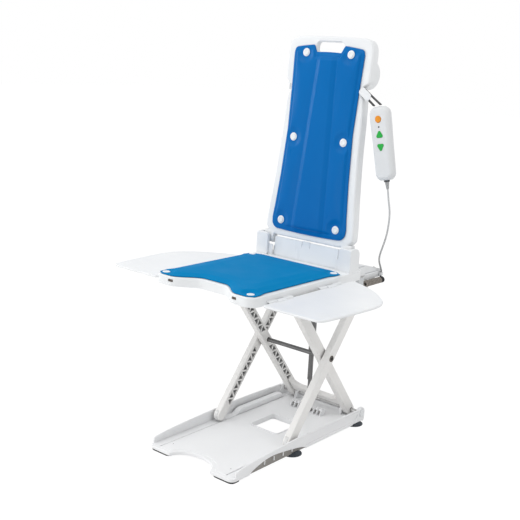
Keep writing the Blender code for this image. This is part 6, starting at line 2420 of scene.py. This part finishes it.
        def height(a: Field, b: Field, u: Field, t: Field) -> Field:
            """How high the sheet stands over the shell.

            Args:
                a: The points' first plane coordinates.
                b: Their second ones.
                u: Their places across.
                t: Their places along.

            Returns:
                The heights.
            """
            full = ease(margin(u, t) / self.cover_rim)
            hem = 0.0014 * np.exp(-(((margin(u, t) - 0.0105) / 0.0022) ** 2))
            middle = self.cover_middle * np.clip((line(b) - np.abs(a)) / self.cover_slope + 0.5, 0, 1)
            crease = 0.0005 * channel(a, b, self.cover_slope / 2, 0.003)
            rise = self.cover_edge + (self.cover_crown + middle - crease) * full - hem
            share = ease((dimples(a, b) - self.dimple * 0.62) / self.dimple)
            return np.minimum(rise, self.dimple_level) * (1 - share) + rise * share

        def held(a: Field, b: Field, u: Field, t: Field) -> Field:
            """How firmly a point is held."""
            firm = np.maximum(1 - ease((margin(u, t) - 0.003) / 0.012), channel(a, b, 0.0, 0.009))
            return np.maximum(firm, 1 - ease((dimples(a, b) - 0.013) / 0.012))

        pad = Pad("back_cover_pad", (88, 140), place, height, held, self.cover_edge)
        upright = Matrix(((1, 0, 0, 0), (0, 0, -1, self.front - self.cover_gap), (0, 1, 0, 0), (0, 0, 0, 1)))
        pad.build(AT.back_frame @ upright, Body.BACKREST, BACK_BLUE, "back_cover")

    def buttons(self) -> None:
        """The stepped plugs in the cover's dimples."""
        face = self.front - self.cover_gap - self.dimple_level
        steps = [
            (0.0046, self.front + self.plate - 0.0003), (0.0046, face), (0.0106, face), (0.011, face - 0.0005),
            (0.0108, face - 0.0012), (0.0102, face - 0.0017), (0.0086, face - 0.0019), (0.0078, face - 0.0020),
            (0.0076, face - 0.0031), (0.0070, face - 0.0036), (0.0052, face - 0.0036), (0.0047, face - 0.0030),
            (0.0001, face - 0.0029),
        ]
        for name, spot in self.plug_spots().items():
            parts, node = [lathe("plug", steps, spot, Axis.Y, 36)], f"cover_plug_{name}"
            piece(f"cover_knob_{name}", parts, Body.BACKREST, WHITE, node, place=AT.back_frame, angle=34)


@dataclass(frozen=True)
class HandControl:
    """The hand control on its strap: two shells, three keys, a lamp and the bend relief."""

    length: float = 0.190
    width: float = 0.058
    depth: float = 0.030
    split: float = -0.003
    edge: float = 0.0105
    stop_radius: float = 0.0088
    arrow_radius: float = 0.0102
    levels: Point = (0.062, 0.022, -0.008)
    lamp: Spot = (0.0, 0.0425)
    rise: float = 0.0015
    strap_thickness: float = 0.0026
    strap_width: float = 0.009
    strap_feet: Spot = (-0.014, 0.006)
    keeper_reach: float = 0.029

    def build(self) -> Thing:
        """Builds all the control's pieces.

        Returns:
            The bend relief, where the cord leaves.
        """
        self.shells()
        self.keys()
        self.strap()
        repaint("handset_battery", DARK_GREY)
        return self.relief()

    def outline(self) -> Outline:
        """The control's face outline.

        Returns:
            The closed outline across and up the control.
        """
        half, end = self.width / 2, self.length / 2
        side = [
            (half * 0.55, -end + 0.0015), (half * 0.88, -end + 0.013), (half * 0.93, -end + 0.035),
            (half * 0.95, 0.0), (half, end - 0.035), (half * 0.93, end - 0.012), (half * 0.55, end - 0.0012),
        ]
        return mirrored([(0.0, -end), *spline(side, 6), (0.0, end)])

    def arrow(self, level: float, sign: int) -> Outline:
        """A rounded triangle that points up or down.

        Args:
            level: Its middle.
            sign: Its direction.

        Returns:
            The closed outline.
        """
        points: Outline = []
        reach = self.arrow_radius * 0.62
        for turn in (90, 210, 330):
            middle = (reach * math.cos(math.radians(turn)), reach * math.sin(math.radians(turn)))
            points += arc(middle, self.arrow_radius * 0.38, turn - 58, turn + 58, 6)
        return [(a, level + sign * b) for a, b in points]

    def caps(self) -> tuple[tuple[str, Outline, Finish, Body], ...]:
        """The keys.

        Returns:
            Each one's node, outline, finish and body.
        """
        stop, up, down = self.levels
        return (
            ("stop_button", circle((0, stop), self.stop_radius, 36), STOP_ORANGE, Body.STOP_KEY),
            ("up_button", self.arrow(up, 1), ARROW_GREEN, Body.UP_KEY),
            ("down_button", self.arrow(down, -1), ARROW_GREEN, Body.DOWN_KEY),
        )

    def shell(self, name: str, end: float, split: float, edge: float) -> Thing:
        """One half of the case, rounded towards its face.

        Args:
            name: The object's name.
            end: Where its face lies.
            split: Where it meets the other half.
            edge: The radius of its rounding.

        Returns:
            The half.
        """
        outline, sign = self.outline(), 1 if end > split else -1
        rows = [(inset(outline, 0.0006), split), (outline, split + sign * 0.0006)]
        rows += [(drawn, end - sign * drop) for drawn, drop in reversed(rounded(outline, edge, 7))]
        return loft(name, [[(a, y, b) for a, b in drawn] for drawn, y in rows])

    def shells(self) -> None:
        """Both halves of the case, with the keys' wells, the lamp and the rear screws."""
        half, place = self.depth / 2, AT.hand_frame
        front = self.shell("front_half", -half, self.split - 0.00015, self.edge)
        rear = self.shell("rear_half", half, self.split + 0.00015, self.edge * 1.25)
        wells = [slab("well", inset(cap, -0.0005), Axis.Y, -half - 0.01, -half + 0.0042) for _, cap, *_ in self.caps()]
        wells.append(slab("lamp_well", circle(self.lamp, 0.0024, 20), Axis.Y, -0.03, -half + 0.001))
        work(front, Cut.TAKE, *wells)
        for node, thing in (("handset_front", front), ("handset_rear", rear)):
            piece(f"{node}_case", [thing], Body.BACKREST, HAND_WHITE, node, place=place, angle=40)
        dome = [(0.0022, -half + 0.0012), (0.0022, -half + 0.0001), (0.0016, -half - 0.0004), (0.0001, -half - 0.0005)]
        lens = lathe("lens", dome, self.lamp, Axis.Y, 20)
        piece("lamp_lens_dome", [lens], Body.BACKREST, LENS, place=place, angle=40)
        spots = [(x, half - 0.0002, z) for x in (-0.014, 0.014) for z in (-0.070, 0.072)]
        points = [tuple(place @ Vector(p)) for p in spots]
        screws("case_screws", points, 0.0026, 0.0012, (-math.pi / 2, 0.0, 0.0), Body.BACKREST)

    def keys(self) -> None:
        """The stop key and the two arrow keys, with rounded tops."""
        face = -self.depth / 2
        top = face - self.rise
        rows = [(0.0, face + 0.0026), (0.0, top + 0.0010), (0.0003, top + 0.0004)]
        rows += [(0.0010, top), (0.0026, top + 0.0002)]
        for node, cap, finish, body in self.caps():
            key = loft("key", [[(a, y, b) for a, b in inset(cap, inward)] for inward, y in rows])
            piece(f"{node}_cap", [key], body, finish, node, place=AT.hand_frame, angle=50)

    def relief(self) -> Thing:
        """The dark collar and the ribbed bend relief.

        Returns:
            The relief.
        """
        end, place = -self.length / 2, AT.hand_frame
        ring = [(0.0072, end + 0.0012), (0.0078, end - 0.0003), (0.0078, end - 0.0026), (0.0070, end - 0.0034)]
        ring = lathe("ring", [*ring, (0.0050, end - 0.0034), (0.0050, end + 0.0012)], (0, 0), Axis.Z, 32, True)
        piece("relief_collar", [ring], Body.BACKREST, DARK_GREY, place=place, angle=34)
        profile = [(0.0049, end - 0.0003), (0.0058, end - 0.0036)]
        for k in range(6):
            level, radius = end - 0.0044 - k * 0.0029, 0.0058 - 0.00036 * k
            profile += [(radius, level), (radius, level - 0.0016), (radius - 0.0009, level - 0.0019)]
            profile += [(radius - 0.0010, level - 0.0026)]
        profile += [(0.0036, end - 0.0216), (0.0033, end - 0.0223)]
        parts = [lathe("relief", profile, (0, 0), Axis.Z, 28)]
        return piece("cord_bend_relief", parts, Body.BACKREST, RELIEF_GREY, "bend_relief", place=place, angle=34)

    def strap(self) -> None:
        """The black tape from the control's top round the hook and back."""
        x, y, z = AT.strap_peg
        half = self.strap_thickness / 2
        radius = AT.peg_radius + 0.00045 + half
        upper = sorted((a, b) for a, b in self.outline() if b > 0)
        feet, turns = [], []
        for foot, side in zip(self.strap_feet, (-1, 1)):
            level = float(np.interp(foot, *zip(*upper))) + self.strap_thickness + 0.0006
            spot = AT.hand_frame @ Vector((foot, 0, level))
            far = math.hypot(spot.x - x, spot.z - z)
            feet.append((spot.x, spot.z))
            turns.append(math.degrees(math.atan2(spot.z - z, spot.x - x) + side * math.acos(radius / far)))
        stop = turns[1] - 360 if turns[1] > turns[0] else turns[1]
        path = [feet[0], *arc((x, z), radius, turns[0], stop, 24), feet[1]]
        band = sideways(path, half) + sideways(path, -half)[::-1]
        self.keeper(path[0], path[-1])
        tape = slab("strap_tape", band, Axis.Y, y - self.strap_width / 2, y + self.strap_width / 2)
        dress(polish(tape, 0.0003), Body.BACKREST, TAPE, "handset_strap")

    def keeper(self, one: Spot, other: Spot) -> None:
        """The white tongue of the hook that hangs over the tape's upper half.

        Args:
            one: The tape's first foot, across and up.
            other: Its second foot.
        """
        x, y, z = AT.strap_peg
        lean = math.atan2((one[0] + other[0]) / 2 - x, z - (one[1] + other[1]) / 2)
        plan = oblong((-0.0105, -self.keeper_reach), (0.0105, 0.0088), 0.0075, 6)
        front = y - self.strap_width / 2 - 0.0004
        tongue = slab("tongue", plan, Axis.Y, -0.0012, 0.0012, 0.0009, 3)
        place = Matrix.Translation((x, front - 0.0014, z)) @ Matrix.Rotation(-lean, 4, "Y")
        piece("hook_tongue", [tongue], Body.BACKREST, WHITE, place=place)


def main() -> None:
    """Builds the stage and the lift."""
    logging.basicConfig(level=logging.INFO, format="%(message)s")
    Stage().build()
    relief = HandControl().build()
    CurlyCord().build(AT.hand_frame, relief)
    BaseUnit().build()
    Scissor().build()
    LiftColumn().build()
    seat = SeatUnit()
    seat.build()
    SideFlap().build(seat)
    BackUnit().build()
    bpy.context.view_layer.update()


if __name__ == "__main__":
    main()
